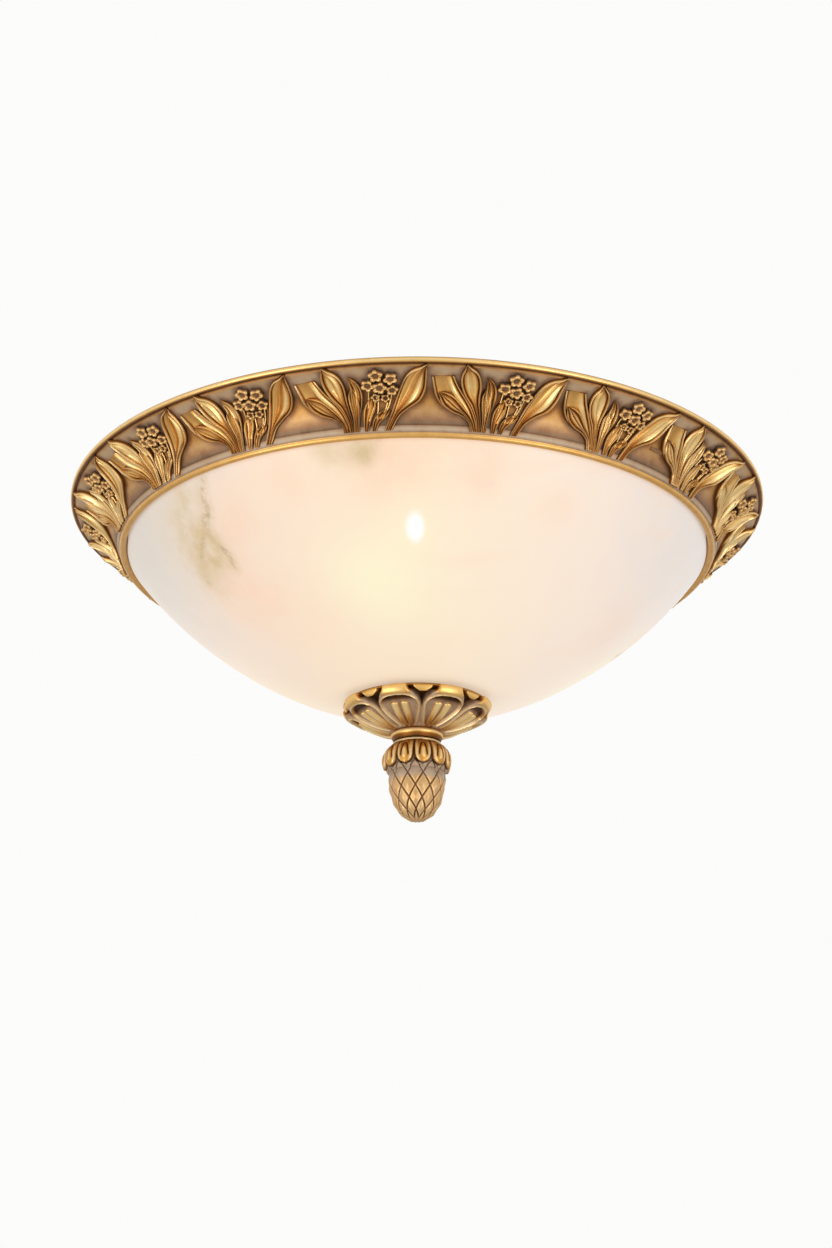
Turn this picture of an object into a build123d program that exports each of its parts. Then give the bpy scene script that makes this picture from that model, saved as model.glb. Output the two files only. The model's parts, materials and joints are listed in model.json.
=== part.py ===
"""A flush-mounted bowl light: an alabaster bowl in a cast ring, held up by a rod and an acorn finial.

Millimetres. z = 0 is the ceiling, +Z points up into it, and the light hangs below it on the Z axis.
"""

from build123d import *
from math import cos, hypot, radians, sin, sqrt, tan
import os

os.makedirs("parts", exist_ok=True)

# ---------------------------------------------------------------- driving dimensions
# trim ring: outer rim against the ceiling, a concave cove, and a beaded lip round the bowl
rim_radius = 250.0
lip_radius = 209.3
ring_depth = 37.8
ring_wall = 3.0
rim_roll = 2.0
rim_bevel_width = 1.2
rim_step = 1.4
cove_sag = 4.5
bead_radius = 2.3
bead_flat = 1.0
lip_step = 5.5
lip_overlap = 1.0
ledge_width = 2.6
ledge_bevel = 1.2
lug_count = 4
lug_width = 8.8
lug_spread = 11.0
lug_setback = 2.4
lug_hole_depth = 8.0
screw_radius = 2.0
screw_tip_room = 1.0
screw_head_radius = 3.5
screw_head_height = 2.6

# alabaster bowl: a round crown and a flatter side in two tangent arcs, with an upright collar in the ring
bowl_depth = 148.0
bowl_crown_radius = 234.0
bowl_crown_angle = 28.0
shoulder_lift = 0.43
bowl_wall = 8.0
bowl_gap = 1.3
bowl_hole = 8.0
bowl_seat = 20.0
shoulder_round = 5.0
rim_bevel = 1.5
felt_thickness = 1.5
felt_margin = 2.0
bush_flange = 1.5
bush_flange_width = 4.0
seat_washer_thickness = 2.0
seat_washer_margin = 1.0

# ceiling bracket: a channel-shaped strap
strap_length = 260.0
strap_width = 30.0
strap_depth = 8.0
strap_sheet = 2.0
ceiling_hole_spacing = 160.0
ceiling_slot_length = 14.0
ceiling_slot_width = 6.0
stud_spacing = 200.0
stud_radius = 2.5
stud_length = 16.0
stud_nut_flats = 8.0
stud_nut_height = 4.0
stud_washer_radius = 5.0
stud_washer_height = 1.0
cap_nut_hex = 4.0
cap_nut_dome = 3.0
cap_nut_shoulder = 0.4
cap_nut_round = 2.1

# chassis pan
pan_sheet = 1.2
pan_clearance = 2.8
pan_rim_top = 1.5
pan_corner = 1.0
gasket_thickness = 2.0
gasket_overlap = 1.0

# centre rod and what it carries
rod_radius = 5.0
rod_stand = 0.4
rod_bore = 2.4
rod_nut_flats = 17.0
rod_nut_height = 5.0
rod_washer_radius = 12.0
rod_washer_height = 1.6

# lamps: three holders that point outwards, level with the ceiling
lamp_count = 3
lamp_first_azimuth = -90.0
lamp_axis_drop = 48.0
holder_back = 22.0
holder_neck_radius = 16.0
holder_neck_length = 18.0
holder_skirt_radius = 20.0
holder_length = 48.0
holder_floor = 15.0
holder_taper = 3.0
shell_radius = 14.2
shell_sheet = 0.5
cap_radius = 13.2
cap_length = 26.0
cap_bevel = 3.0
cap_tip_radius = 4.5
cap_tip_length = 2.5
bulb_neck_step = 1.0
bulb_neck_radius = 19.0
bulb_neck_length = 22.0
bulb_radius = 22.5
bulb_length = 56.0
bracket_width = 20.0
bracket_sheet = 1.5
bracket_foot = 24.0
foot_screw_distance = 36.5
foot_screw_radius = 1.5
back_screw_spacing = 14.0
cap_stand = 1.5
shell_setback = 3.0
tongue_sheet = 0.5
tongue_width = 6.0
tongue_root = 5.0
tongue_bend = -2.0
tongue_tip = -4.0
back_screw_length = 8.0
small_head_radius = 2.7
small_head_height = 1.6

# supply side
grommet_distance = 112.0
grommet_bore = 4.5
grommet_wall = 2.5
grommet_lip = 1.8
block_distance = 74.0
block_length = 36.0
block_width = 16.0
block_height = 14.0
pole_count = 3
pole_spacing = 11.0
pole_bore = 1.9
block_screw_radius = 1.5
pole_slot = 2.4
pole_screw_radius = 1.6
pole_screw_spacing = 9.0
pole_screw_depth = 5.0
pole_screw_inset = 0.5
earth_washer_radius = 4.5
earth_offset = 34.0
lead_radius = 1.6
lead_bend_share = 0.45

# rosette, collar and acorn under the bowl
rosette_radius = 52.0
rosette_drop = 3.0
rosette_height = 16.5
rosette_wall = 2.6
rosette_waist = 32.0
rosette_waist_rise = 4.6
rosette_neck = 17.0
rosette_neck_height = 1.0
petal_count = 8
petal_notch = 3.6
petal_phase = -106.9
collar_radius = 18.2
collar_height = 6.6
collar_roll = 2.1
collar_lip = 16.5
cup_radius = 24.4
cup_height = 22.0
cup_neck = 14.0
cup_neck_share = 0.14
cup_belly_share = 0.62
cup_lip = 1.2
lobe_count = 11
lobe_groove = 2.0
lobe_phase = -95.0
nut_radius = 19.6
nut_height = 35.2
nut_belly_share = 0.38
nut_belly_narrowing = 0.94
nut_taper = 12.0
nut_taper_share = 0.76
insert_radius = 8.0
insert_depth = 17.0
thread_engagement = 12.0

# fits
face_gap = 0.3
running_fit = 0.05
screw_fit = 0.05
slip_fit = 0.4


def finish(piece, name):
    """Labels a finished piece and writes it."""
    piece.part.label = name
    export_step(piece.part, f"parts/{name}.step")


# ---------------------------------------------------------------- heights down the axis
pan_top = -strap_depth
pan_face = pan_top - pan_sheet
bowl_top = pan_face - gasket_thickness - face_gap
bowl_collar = lip_radius - bowl_gap
bowl_shoulder = shoulder_lift - ring_depth
rod_top = pan_top + rod_nut_height + rod_stand
rod_nut_corner = rod_nut_flats / sqrt(3)
crown_height = bowl_crown_radius - bowl_depth

# The side's arc goes on from the crown's in the same direction and ends at the shoulder.
crown_across = sin(radians(bowl_crown_angle))
crown_down = cos(radians(bowl_crown_angle))
side_run = bowl_collar - bowl_crown_radius * crown_across
side_rise = bowl_shoulder - crown_height + bowl_crown_radius * crown_down
bowl_side_radius = (side_run**2 + side_rise**2) / (2 * (side_rise * crown_down - side_run * crown_across))
side_shift = (bowl_crown_radius - bowl_side_radius) * crown_across
side_height = crown_height - (bowl_crown_radius - bowl_side_radius) * crown_down


def bowl_join(inset=0.0):
    """Distance from the axis at which the crown's arc meets the side's."""
    return (bowl_crown_radius - inset) * crown_across


def bowl_height(radius, inset=0.0):
    """Height of the bowl's outer curve, or of the curve a wall further in, at a distance from the axis."""
    if radius <= bowl_join(inset):
        return crown_height - sqrt((bowl_crown_radius - inset) ** 2 - radius**2)
    return side_height - sqrt((bowl_side_radius - inset) ** 2 - (radius - side_shift) ** 2)


def bowl_point(radius, inset=0.0):
    """The point of the bowl's section at a distance from the axis."""
    return (radius, bowl_height(radius, inset))


bowl_floor = bowl_height(bowl_seat, bowl_wall)
bowl_underside = bowl_height(bowl_seat)
hub_top = bowl_underside - seat_washer_thickness
hub_bottom = hub_top - rosette_height
collar_top = hub_bottom - face_gap
collar_bottom = collar_top - collar_height
acorn_top = collar_bottom - face_gap
rod_end = acorn_top - thread_engagement
rod_hole = rod_radius + slip_fit

# ---------------------------------------------------------------- trim ring
# The cove is an arc between the rim's step and the lip's step. Its far side has the same centre.
cove_outer = (rim_radius - rim_roll - 2 * rim_step, -2 * rim_roll - rim_step)
cove_inner = (lip_radius + 2 * bead_radius + ledge_width, -ring_depth + bead_radius + lip_step)
cove_run = cove_outer[0] - cove_inner[0]
cove_fall = cove_outer[1] - cove_inner[1]
cove_chord = hypot(cove_run, cove_fall)
cove_radius = cove_chord**2 / (8 * cove_sag) + cove_sag / 2
cove_normal = (-cove_fall / cove_chord, cove_run / cove_chord)
cove_centre = (
    (cove_outer[0] + cove_inner[0]) / 2 - cove_normal[0] * (cove_radius - cove_sag),
    (cove_outer[1] + cove_inner[1]) / 2 - cove_normal[1] * (cove_radius - cove_sag),
)


def cove_point(radius, depth=0.0):
    """The point of the cove, or of a surface at some depth inside its wall, at a distance from the axis."""
    reach = cove_radius + depth
    return (radius, cove_centre[1] + sqrt(reach**2 - (radius - cove_centre[0]) ** 2))


hidden_outer = (cove_outer[0] - ring_wall / 2, cove_point(cove_outer[0] - ring_wall / 2, ring_wall)[1])
hidden_inner = cove_point(cove_inner[0] - ring_wall / 2, ring_wall)
lip_top = hidden_inner[1] - lip_overlap
bead_middle = -ring_depth + bead_radius
lug_radius = lip_radius + bead_radius + lug_width / 2 + lug_setback
lug_outer = lug_radius + lug_width / 2
lug_inner = lug_radius - lug_width / 2

with BuildPart() as trim_ring:
    with BuildSketch(Plane.XZ) as ring_section:
        with BuildLine():
            Polyline(
                (hidden_outer[0], 0),
                (rim_radius - rim_bevel_width, 0),
                (rim_radius, -rim_bevel_width),
                (rim_radius, -2 * rim_roll + rim_bevel_width),
                (rim_radius - rim_bevel_width, -2 * rim_roll),
                (rim_radius - rim_roll - rim_step, -2 * rim_roll),
                cove_outer,
            )
            ThreePointArc(
                cove_outer, cove_point((cove_outer[0] + cove_inner[0]) / 2), cove_inner
            )
            Polyline(
                cove_inner,
                (cove_inner[0] - ledge_bevel, cove_inner[1] - ledge_bevel),
                (lip_radius + 2 * bead_radius, bead_middle),
                (lip_radius + bead_radius + bead_flat, -ring_depth),
                (lip_radius + bead_radius - bead_flat, -ring_depth),
                (lip_radius, bead_middle),
                (lip_radius, lip_top),
                (hidden_inner[0] - ledge_bevel, lip_top),
                hidden_inner,
            )
            ThreePointArc(
                hidden_inner,
                cove_point((hidden_inner[0] + hidden_outer[0]) / 2, ring_wall),
                hidden_outer,
            )
            Line(hidden_outer, (hidden_outer[0], 0))
        make_face()
    revolve(axis=Axis.Z)
    # lugs behind the cove take the screws that hold the ring to the pan
    for lug in range(lug_count):
        azimuth = radians((lug + 0.5) * 360 / lug_count)
        upright = Plane(
            origin=(0, 0, 0),
            x_dir=(cos(azimuth), sin(azimuth), 0),
            z_dir=(sin(azimuth), -cos(azimuth), 0),
        )
        with BuildSketch(upright):
            Polygon(
                (lug_inner, pan_face),
                (lug_outer, pan_face),
                cove_point(lug_outer, ring_wall / 2),
                cove_point(lug_radius, ring_wall / 2),
                cove_point(lug_inner + ring_wall, ring_wall / 2),
                (lug_inner, lip_top - ring_wall / 2),
                align=None,
            )
        extrude(amount=lug_spread / 2, both=True)
    with BuildSketch(Plane.XY.offset(pan_face)):
        with PolarLocations(lug_radius, lug_count, start_angle=180 / lug_count):
            Circle(screw_radius + screw_fit)
    extrude(amount=-lug_hole_depth, mode=Mode.SUBTRACT)
finish(trim_ring, "trim_ring")

# ---------------------------------------------------------------- ceiling bracket and its fasteners
with BuildPart() as ceiling_bracket:
    with BuildSketch(Plane.YZ.offset(-strap_length / 2)):
        Rectangle(strap_width, strap_depth, align=(Align.CENTER, Align.MAX))
        with Locations((0, -strap_sheet)):
            Rectangle(
                strap_width - 2 * strap_sheet,
                strap_depth,
                align=(Align.CENTER, Align.MAX),
                mode=Mode.SUBTRACT,
            )
    extrude(amount=strap_length)
    with BuildSketch(Plane.XY):
        with GridLocations(ceiling_hole_spacing, 1, 2, 1):
            SlotOverall(ceiling_slot_length, ceiling_slot_width)
        with GridLocations(stud_spacing, 1, 2, 1):
            Circle(stud_radius + screw_fit)
        Circle(rod_nut_corner + slip_fit)
    extrude(amount=-strap_sheet, mode=Mode.SUBTRACT)
finish(ceiling_bracket, "ceiling_bracket")

with BuildPart() as bracket_studs:
    with BuildSketch(Plane.XY):
        with GridLocations(stud_spacing, 1, 2, 1):
            Circle(stud_radius)
    extrude(amount=-stud_length)
finish(bracket_studs, "bracket_studs")

stud_hole = stud_radius + screw_fit
with BuildPart() as bracket_lock_nuts:
    with BuildSketch(Plane.XY.offset(-strap_sheet)):
        with GridLocations(stud_spacing, 1, 2, 1):
            RegularPolygon(stud_nut_flats / 2, 6, major_radius=False)
            Circle(stud_hole, mode=Mode.SUBTRACT)
    extrude(amount=-stud_nut_height)
finish(bracket_lock_nuts, "bracket_lock_nuts")

with BuildPart() as pan_washers:
    with BuildSketch(Plane.XY.offset(pan_face)):
        with GridLocations(stud_spacing, 1, 2, 1):
            Circle(stud_washer_radius)
            Circle(stud_hole, mode=Mode.SUBTRACT)
    extrude(amount=-stud_washer_height)
finish(pan_washers, "pan_washers")

cap_nut_top = pan_face - stud_washer_height
with BuildPart() as pan_cap_nuts:
    with BuildSketch(Plane.XY.offset(cap_nut_top)):
        with GridLocations(stud_spacing, 1, 2, 1):
            RegularPolygon(stud_nut_flats / 2, 6, major_radius=False)
    extrude(amount=-cap_nut_hex)
    with BuildSketch(Plane.XY.offset(cap_nut_top - cap_nut_hex)):
        with GridLocations(stud_spacing, 1, 2, 1):
            Circle(stud_nut_flats / 2 - cap_nut_shoulder)
    extrude(amount=-cap_nut_dome)
    fillet(pan_cap_nuts.edges().group_by(Axis.Z)[0], cap_nut_round)
    with BuildSketch(Plane.XY.offset(cap_nut_top)):
        with GridLocations(stud_spacing, 1, 2, 1):
            Circle(stud_hole)
    extrude(amount=-(stud_length + cap_nut_top + face_gap), mode=Mode.SUBTRACT)
finish(pan_cap_nuts, "pan_cap_nuts")

# ---------------------------------------------------------------- chassis pan
pan_reach = cove_radius + ring_wall
pan_radius = cove_centre[0] - sqrt(pan_reach**2 - (pan_face - pan_clearance - cove_centre[1]) ** 2)

with BuildPart() as chassis_pan:
    with BuildSketch(Plane.XZ) as pan_section:
        with BuildLine():
            Polyline(
                (rod_hole, pan_top),
                (pan_radius - pan_sheet, pan_top),
                (pan_radius - pan_sheet, -pan_rim_top),
                (pan_radius, -pan_rim_top),
                (pan_radius, pan_face),
                (rod_hole, pan_face),
                close=True,
            )
        make_face()
        pan_edge = pan_section.vertices().sort_by_distance((pan_radius, pan_face, 0))
        chamfer(pan_edge[0], pan_corner)
    revolve(axis=Axis.Z)
    with BuildSketch(Plane.XY.offset(pan_top)):
        with GridLocations(stud_spacing, 1, 2, 1):
            Circle(stud_hole)
        with PolarLocations(lug_radius, lug_count, start_angle=180 / lug_count):
            Circle(screw_radius + screw_fit)
        with PolarLocations(foot_screw_distance, lamp_count, start_angle=lamp_first_azimuth):
            Circle(foot_screw_radius + screw_fit)
        with Locations((0, grommet_distance)):
            Circle(grommet_bore + grommet_wall)
        with Locations((earth_offset, block_distance)):
            Circle(foot_screw_radius + screw_fit)
        with Locations((0, block_distance)):
            Circle(block_screw_radius + screw_fit)
    extrude(amount=-pan_sheet, mode=Mode.SUBTRACT)
finish(chassis_pan, "chassis_pan")

with BuildPart() as ring_screws:
    with BuildSketch(Plane.XY.offset(pan_top)):
        with PolarLocations(lug_radius, lug_count, start_angle=180 / lug_count):
            Circle(screw_head_radius)
    extrude(amount=screw_head_height)
    with BuildSketch(Plane.XY.offset(pan_top)):
        with PolarLocations(lug_radius, lug_count, start_angle=180 / lug_count):
            Circle(screw_radius)
    extrude(amount=-(pan_sheet + lug_hole_depth - screw_tip_room))
finish(ring_screws, "ring_screws")

with BuildPart() as rim_gasket:
    with BuildSketch(Plane.XY.offset(pan_face)):
        Circle(bowl_collar + gasket_overlap)
        Circle(bowl_collar - bowl_wall - gasket_overlap, mode=Mode.SUBTRACT)
    extrude(amount=-gasket_thickness)
finish(rim_gasket, "rim_gasket")

# ---------------------------------------------------------------- centre rod and its nuts
with BuildPart() as centre_rod:
    with BuildSketch(Plane.XY.offset(rod_top)):
        Circle(rod_radius)
        Circle(rod_bore, mode=Mode.SUBTRACT)
    extrude(amount=rod_end - rod_top)
finish(centre_rod, "centre_rod")

with BuildPart() as rod_top_nut:
    with BuildSketch(Plane.XY.offset(pan_top)):
        RegularPolygon(rod_nut_flats / 2, 6, major_radius=False)
        Circle(rod_radius + running_fit, mode=Mode.SUBTRACT)
    extrude(amount=rod_nut_height)
finish(rod_top_nut, "rod_top_nut")

with BuildPart() as rod_lower_washer:
    with BuildSketch(Plane.XY.offset(pan_face)):
        Circle(rod_washer_radius)
        Circle(rod_hole, mode=Mode.SUBTRACT)
    extrude(amount=-rod_washer_height)
finish(rod_lower_washer, "rod_lower_washer")

with BuildPart() as rod_lower_nut:
    with BuildSketch(Plane.XY.offset(pan_face - rod_washer_height)):
        RegularPolygon(rod_nut_flats / 2, 6, major_radius=False)
        Circle(rod_radius + running_fit, mode=Mode.SUBTRACT)
    extrude(amount=-rod_nut_height)
finish(rod_lower_nut, "rod_lower_nut")

# ---------------------------------------------------------------- lamps
foot_height = pan_face - bracket_sheet
holder_front = holder_back + holder_length
holder_shoulder = holder_back + holder_neck_length
well_floor = holder_back + holder_floor
cap_end = holder_front + cap_stand
cap_start = cap_end - cap_length
bulb_end = cap_end + bulb_length
tongue_reach = cap_start - cap_tip_length - face_gap


def lamp_plane(azimuth):
    """The upright plane along one lamp: x runs outwards from the axis, y upwards, level with the lamp."""
    angle = radians(azimuth)
    return Plane(
        origin=(0, 0, -lamp_axis_drop),
        x_dir=(cos(angle), sin(angle), 0),
        z_dir=(sin(angle), -cos(angle), 0),
    )


def lamp_axis(azimuth):
    """The lamp's own axis, pointing outwards."""
    angle = radians(azimuth)
    return Axis((0, 0, -lamp_axis_drop), (cos(angle), sin(angle), 0))


def lamp_face(azimuth, distance):
    """The plane square to a lamp's axis at a distance from the centre, facing outwards."""
    angle = radians(azimuth)
    centre = (distance * cos(angle), distance * sin(angle), -lamp_axis_drop)
    return Plane(origin=centre, x_dir=(0, 0, 1), z_dir=(cos(angle), sin(angle), 0))


for lamp in range(lamp_count):
    number = lamp + 1
    azimuth = lamp_first_azimuth + lamp * 360 / lamp_count

    # an angle of steel strip: one leg under the pan, the other behind the holder
    with BuildPart() as holder_bracket:
        with BuildSketch(lamp_plane(azimuth)):
            leg_end = lamp_axis_drop + foot_height
            with BuildLine():
                Polyline(
                    (holder_back - bracket_sheet, leg_end + bracket_sheet),
                    (holder_back - bracket_sheet + bracket_foot, leg_end + bracket_sheet),
                    (holder_back - bracket_sheet + bracket_foot, leg_end),
                    (holder_back, leg_end),
                    (holder_back, -bracket_width / 2),
                    (holder_back - bracket_sheet, -bracket_width / 2),
                    close=True,
                )
            make_face()
        extrude(amount=bracket_width / 2, both=True)
        with BuildSketch(lamp_face(azimuth, holder_back)):
            with GridLocations(1, back_screw_spacing, 1, 2):
                Circle(foot_screw_radius + screw_fit)
        extrude(amount=-bracket_sheet, mode=Mode.SUBTRACT)
        with BuildSketch(Plane.XY.offset(pan_face)):
            with PolarLocations(foot_screw_distance, 1, start_angle=azimuth):
                Circle(foot_screw_radius + screw_fit)
        extrude(amount=-bracket_sheet, mode=Mode.SUBTRACT)
    finish(holder_bracket, f"holder_bracket_{number}")

    # the holder: a neck that carries the terminals, a wider skirt, and a well for the lamp's cap
    with BuildPart() as lamp_holder:
        with BuildSketch(lamp_plane(azimuth)):
            with BuildLine():
                Polyline(
                    (holder_back, 0),
                    (holder_back, holder_neck_radius),
                    (holder_shoulder, holder_neck_radius),
                    (holder_shoulder + holder_taper, holder_skirt_radius),
                    (holder_front, holder_skirt_radius),
                    (holder_front, shell_radius + face_gap),
                    (well_floor, shell_radius + face_gap),
                    (well_floor, 0),
                    close=True,
                )
            make_face()
        revolve(axis=lamp_axis(azimuth))
        with BuildSketch(lamp_face(azimuth, holder_back)):
            with GridLocations(1, back_screw_spacing, 1, 2):
                Circle(foot_screw_radius + screw_fit)
        extrude(amount=back_screw_length, mode=Mode.SUBTRACT)
    finish(lamp_holder, f"lamp_holder_{number}")

    with BuildPart() as screw_shell:
        with BuildSketch(lamp_face(azimuth, well_floor)):
            Circle(shell_radius)
            Circle(shell_radius - shell_sheet, mode=Mode.SUBTRACT)
        extrude(amount=holder_front - well_floor - shell_setback)
    finish(screw_shell, f"screw_shell_{number}")

    with BuildPart() as centre_contact:
        with BuildSketch(lamp_plane(azimuth)):
            with BuildLine():
                Polyline(
                    (well_floor, tongue_root),
                    (well_floor + tongue_sheet, tongue_root),
                    (well_floor + tongue_sheet, tongue_bend),
                    (tongue_reach, tongue_tip),
                    (tongue_reach - tongue_sheet, tongue_tip - tongue_sheet),
                    (well_floor, tongue_bend - tongue_sheet),
                    close=True,
                )
            make_face()
        extrude(amount=tongue_width / 2, both=True)
    finish(centre_contact, f"centre_contact_{number}")

    with BuildPart() as bulb_cap:
        with BuildSketch(lamp_plane(azimuth)):
            with BuildLine():
                Polyline(
                    (cap_start - cap_tip_length, 0),
                    (cap_start - cap_tip_length, cap_tip_radius),
                    (cap_start, cap_radius - cap_bevel),
                    (cap_start + cap_bevel, cap_radius),
                    (cap_end, cap_radius),
                    (cap_end, 0),
                    close=True,
                )
            make_face()
        revolve(axis=lamp_axis(azimuth))
    finish(bulb_cap, f"bulb_cap_{number}")

    neck_end = cap_end + bulb_neck_length
    globe_centre = bulb_end - bulb_radius
    with BuildPart() as bulb_housing:
        with BuildSketch(lamp_plane(azimuth)):
            with BuildLine():
                Polyline(
                    (cap_end, 0),
                    (cap_end, cap_radius + bulb_neck_step),
                    (neck_end, bulb_neck_radius),
                    (neck_end, 0),
                    close=True,
                )
            make_face()
        revolve(axis=lamp_axis(azimuth))
    finish(bulb_housing, f"bulb_housing_{number}")

    with BuildPart() as bulb_diffuser:
        with BuildSketch(lamp_plane(azimuth)):
            with BuildLine():
                globe_reach = sqrt(bulb_radius**2 - (globe_centre - neck_end) ** 2)
                Line((neck_end, 0), (neck_end, globe_reach))
                ThreePointArc(
                    (neck_end, globe_reach),
                    (globe_centre, bulb_radius),
                    (bulb_end, 0),
                )
                Line((bulb_end, 0), (neck_end, 0))
            make_face()
        revolve(axis=lamp_axis(azimuth))
    finish(bulb_diffuser, f"bulb_diffuser_{number}")

# the small screws behind and above the holders
with BuildPart() as holder_screws:
    for lamp in range(lamp_count):
        azimuth = lamp_first_azimuth + lamp * 360 / lamp_count
        with BuildSketch(lamp_face(azimuth, holder_back - bracket_sheet)):
            with GridLocations(1, back_screw_spacing, 1, 2):
                Circle(small_head_radius)
        extrude(amount=-small_head_height)
        with BuildSketch(lamp_face(azimuth, holder_back - bracket_sheet)):
            with GridLocations(1, back_screw_spacing, 1, 2):
                Circle(foot_screw_radius)
        extrude(amount=back_screw_length)
finish(holder_screws, "holder_screws")

with BuildPart() as foot_rivets:
    with BuildSketch(Plane.XY.offset(foot_height)):
        with PolarLocations(foot_screw_distance, lamp_count, start_angle=lamp_first_azimuth):
            Circle(small_head_radius)
    extrude(amount=-small_head_height)
    with BuildSketch(Plane.XY.offset(foot_height)):
        with PolarLocations(foot_screw_distance, lamp_count, start_angle=lamp_first_azimuth):
            Circle(foot_screw_radius)
    extrude(amount=bracket_sheet + pan_sheet)
    with BuildSketch(Plane.XY.offset(pan_top)):
        with PolarLocations(foot_screw_distance, lamp_count, start_angle=lamp_first_azimuth):
            Circle(small_head_radius)
    extrude(amount=small_head_height)
finish(foot_rivets, "foot_rivets")

# ---------------------------------------------------------------- supply side
with BuildPart() as cable_grommet:
    with BuildSketch(Plane.XZ.offset(-grommet_distance)):
        with BuildLine():
            Polyline(
                (grommet_bore, pan_top + grommet_lip),
                (grommet_bore + grommet_wall + grommet_lip, pan_top + grommet_lip),
                (grommet_bore + grommet_wall + grommet_lip, pan_top),
                (grommet_bore + grommet_wall, pan_top),
                (grommet_bore + grommet_wall, pan_face),
                (grommet_bore + grommet_wall + grommet_lip, pan_face),
                (grommet_bore + grommet_wall + grommet_lip, pan_face - grommet_lip),
                (grommet_bore, pan_face - grommet_lip),
                close=True,
            )
        make_face()
    revolve(axis=Axis((0, grommet_distance, 0), (0, 0, 1)))
finish(cable_grommet, "cable_grommet")

block_floor = pan_face - block_height
pole_height = pan_face - block_height / 2
with BuildPart() as terminal_block:
    with BuildSketch(Plane.XY.offset(pan_face)):
        with Locations((0, block_distance)):
            Rectangle(block_length, block_width)
        with Locations((0, block_distance)):
            with GridLocations(pole_spacing, 1, pole_count - 1, 1):
                Rectangle(pole_slot, block_width, mode=Mode.SUBTRACT)
            Rectangle(block_length, block_width / 2)
    extrude(amount=-block_height)
    with BuildSketch(Plane.XZ.offset(-block_distance + block_width / 2)):
        with Locations((0, pole_height)):
            with GridLocations(pole_spacing, 1, pole_count, 1):
                Circle(pole_bore)
    extrude(amount=-block_width, mode=Mode.SUBTRACT)
    with BuildSketch(Plane.XY.offset(block_floor)):
        with Locations((0, block_distance)):
            with GridLocations(pole_spacing, pole_screw_spacing, pole_count, 2):
                Circle(pole_screw_radius + screw_fit)
    extrude(amount=pole_screw_depth, mode=Mode.SUBTRACT)
finish(terminal_block, "terminal_block")

with BuildPart() as terminal_screws:
    with BuildSketch(Plane.XY.offset(block_floor + pole_screw_inset)):
        with Locations((0, block_distance)):
            with GridLocations(pole_spacing, pole_screw_spacing, pole_count, 2):
                Circle(pole_screw_radius)
    extrude(amount=pole_screw_depth - pole_screw_inset)
finish(terminal_screws, "terminal_screws")

with BuildPart() as earth_screw:
    with BuildSketch(Plane.XY.offset(pan_face)):
        with Locations((earth_offset, block_distance)):
            RegularPolygon(earth_washer_radius, 6)
    extrude(amount=-small_head_height)
    with BuildSketch(Plane.XY.offset(pan_face - small_head_height)):
        with Locations((earth_offset, block_distance)):
            Circle(small_head_radius)
    extrude(amount=-small_head_height)
    with BuildSketch(Plane.XY.offset(pan_face)):
        with Locations((earth_offset, block_distance)):
            Circle(foot_screw_radius)
    extrude(amount=pan_sheet + small_head_height)
finish(earth_screw, "earth_screw")

# ---------------------------------------------------------------- bowl and what is centred on it
inner_collar = bowl_collar - bowl_wall
inner_shoulder = bowl_height(inner_collar, bowl_wall)


def bowl_curve(reach, inset):
    """The crown's arc from the ground seat, and the side's arc out to the collar."""
    join = bowl_join(inset)
    for start, end in ((bowl_seat, join), (join, reach)):
        ThreePointArc(
            bowl_point(start, inset),
            bowl_point((start + end) / 2, inset),
            bowl_point(end, inset),
        )


with BuildPart() as alabaster_bowl:
    with BuildSketch(Plane.XZ) as bowl_section:
        with BuildLine():
            bowl_curve(bowl_collar, 0)
            bowl_curve(inner_collar, bowl_wall)
            Polyline(
                (bowl_seat, bowl_underside),
                (bowl_hole, bowl_underside),
                (bowl_hole, bowl_floor),
                (bowl_seat, bowl_floor),
            )
            Polyline(
                (bowl_collar, bowl_shoulder),
                (bowl_collar, bowl_top),
                (inner_collar, bowl_top),
                (inner_collar, inner_shoulder),
            )
        make_face()
        corners = bowl_section.vertices()
        fillet(corners.sort_by_distance((bowl_collar, bowl_shoulder, 0))[0], shoulder_round)
        rim_corners = bowl_section.vertices().group_by(Axis.Y)[-1]
        chamfer(rim_corners, rim_bevel)
    revolve(axis=Axis.Z)
finish(alabaster_bowl, "alabaster_bowl")

with BuildPart() as felt_washer:
    with BuildSketch(Plane.XY.offset(bowl_floor)):
        Circle(bowl_seat - felt_margin)
        Circle(bowl_hole, mode=Mode.SUBTRACT)
    extrude(amount=felt_thickness)
finish(felt_washer, "felt_washer")

with BuildPart() as centring_bush:
    with BuildSketch(Plane.XY.offset(bowl_floor + felt_thickness)):
        Circle(bowl_hole + bush_flange_width)
        Circle(rod_hole, mode=Mode.SUBTRACT)
    extrude(amount=bush_flange)
    with BuildSketch(Plane.XY.offset(bowl_floor + felt_thickness)):
        Circle(bowl_hole - slip_fit)
        Circle(rod_hole, mode=Mode.SUBTRACT)
    extrude(amount=-(felt_thickness + bowl_floor - bowl_underside - face_gap))
finish(centring_bush, "centring_bush")

with BuildPart() as seat_washer:
    with BuildSketch(Plane.XY.offset(bowl_underside)):
        Circle(bowl_seat - seat_washer_margin)
        Circle(bowl_hole, mode=Mode.SUBTRACT)
    extrude(amount=-seat_washer_thickness)
finish(seat_washer, "seat_washer")

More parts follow.
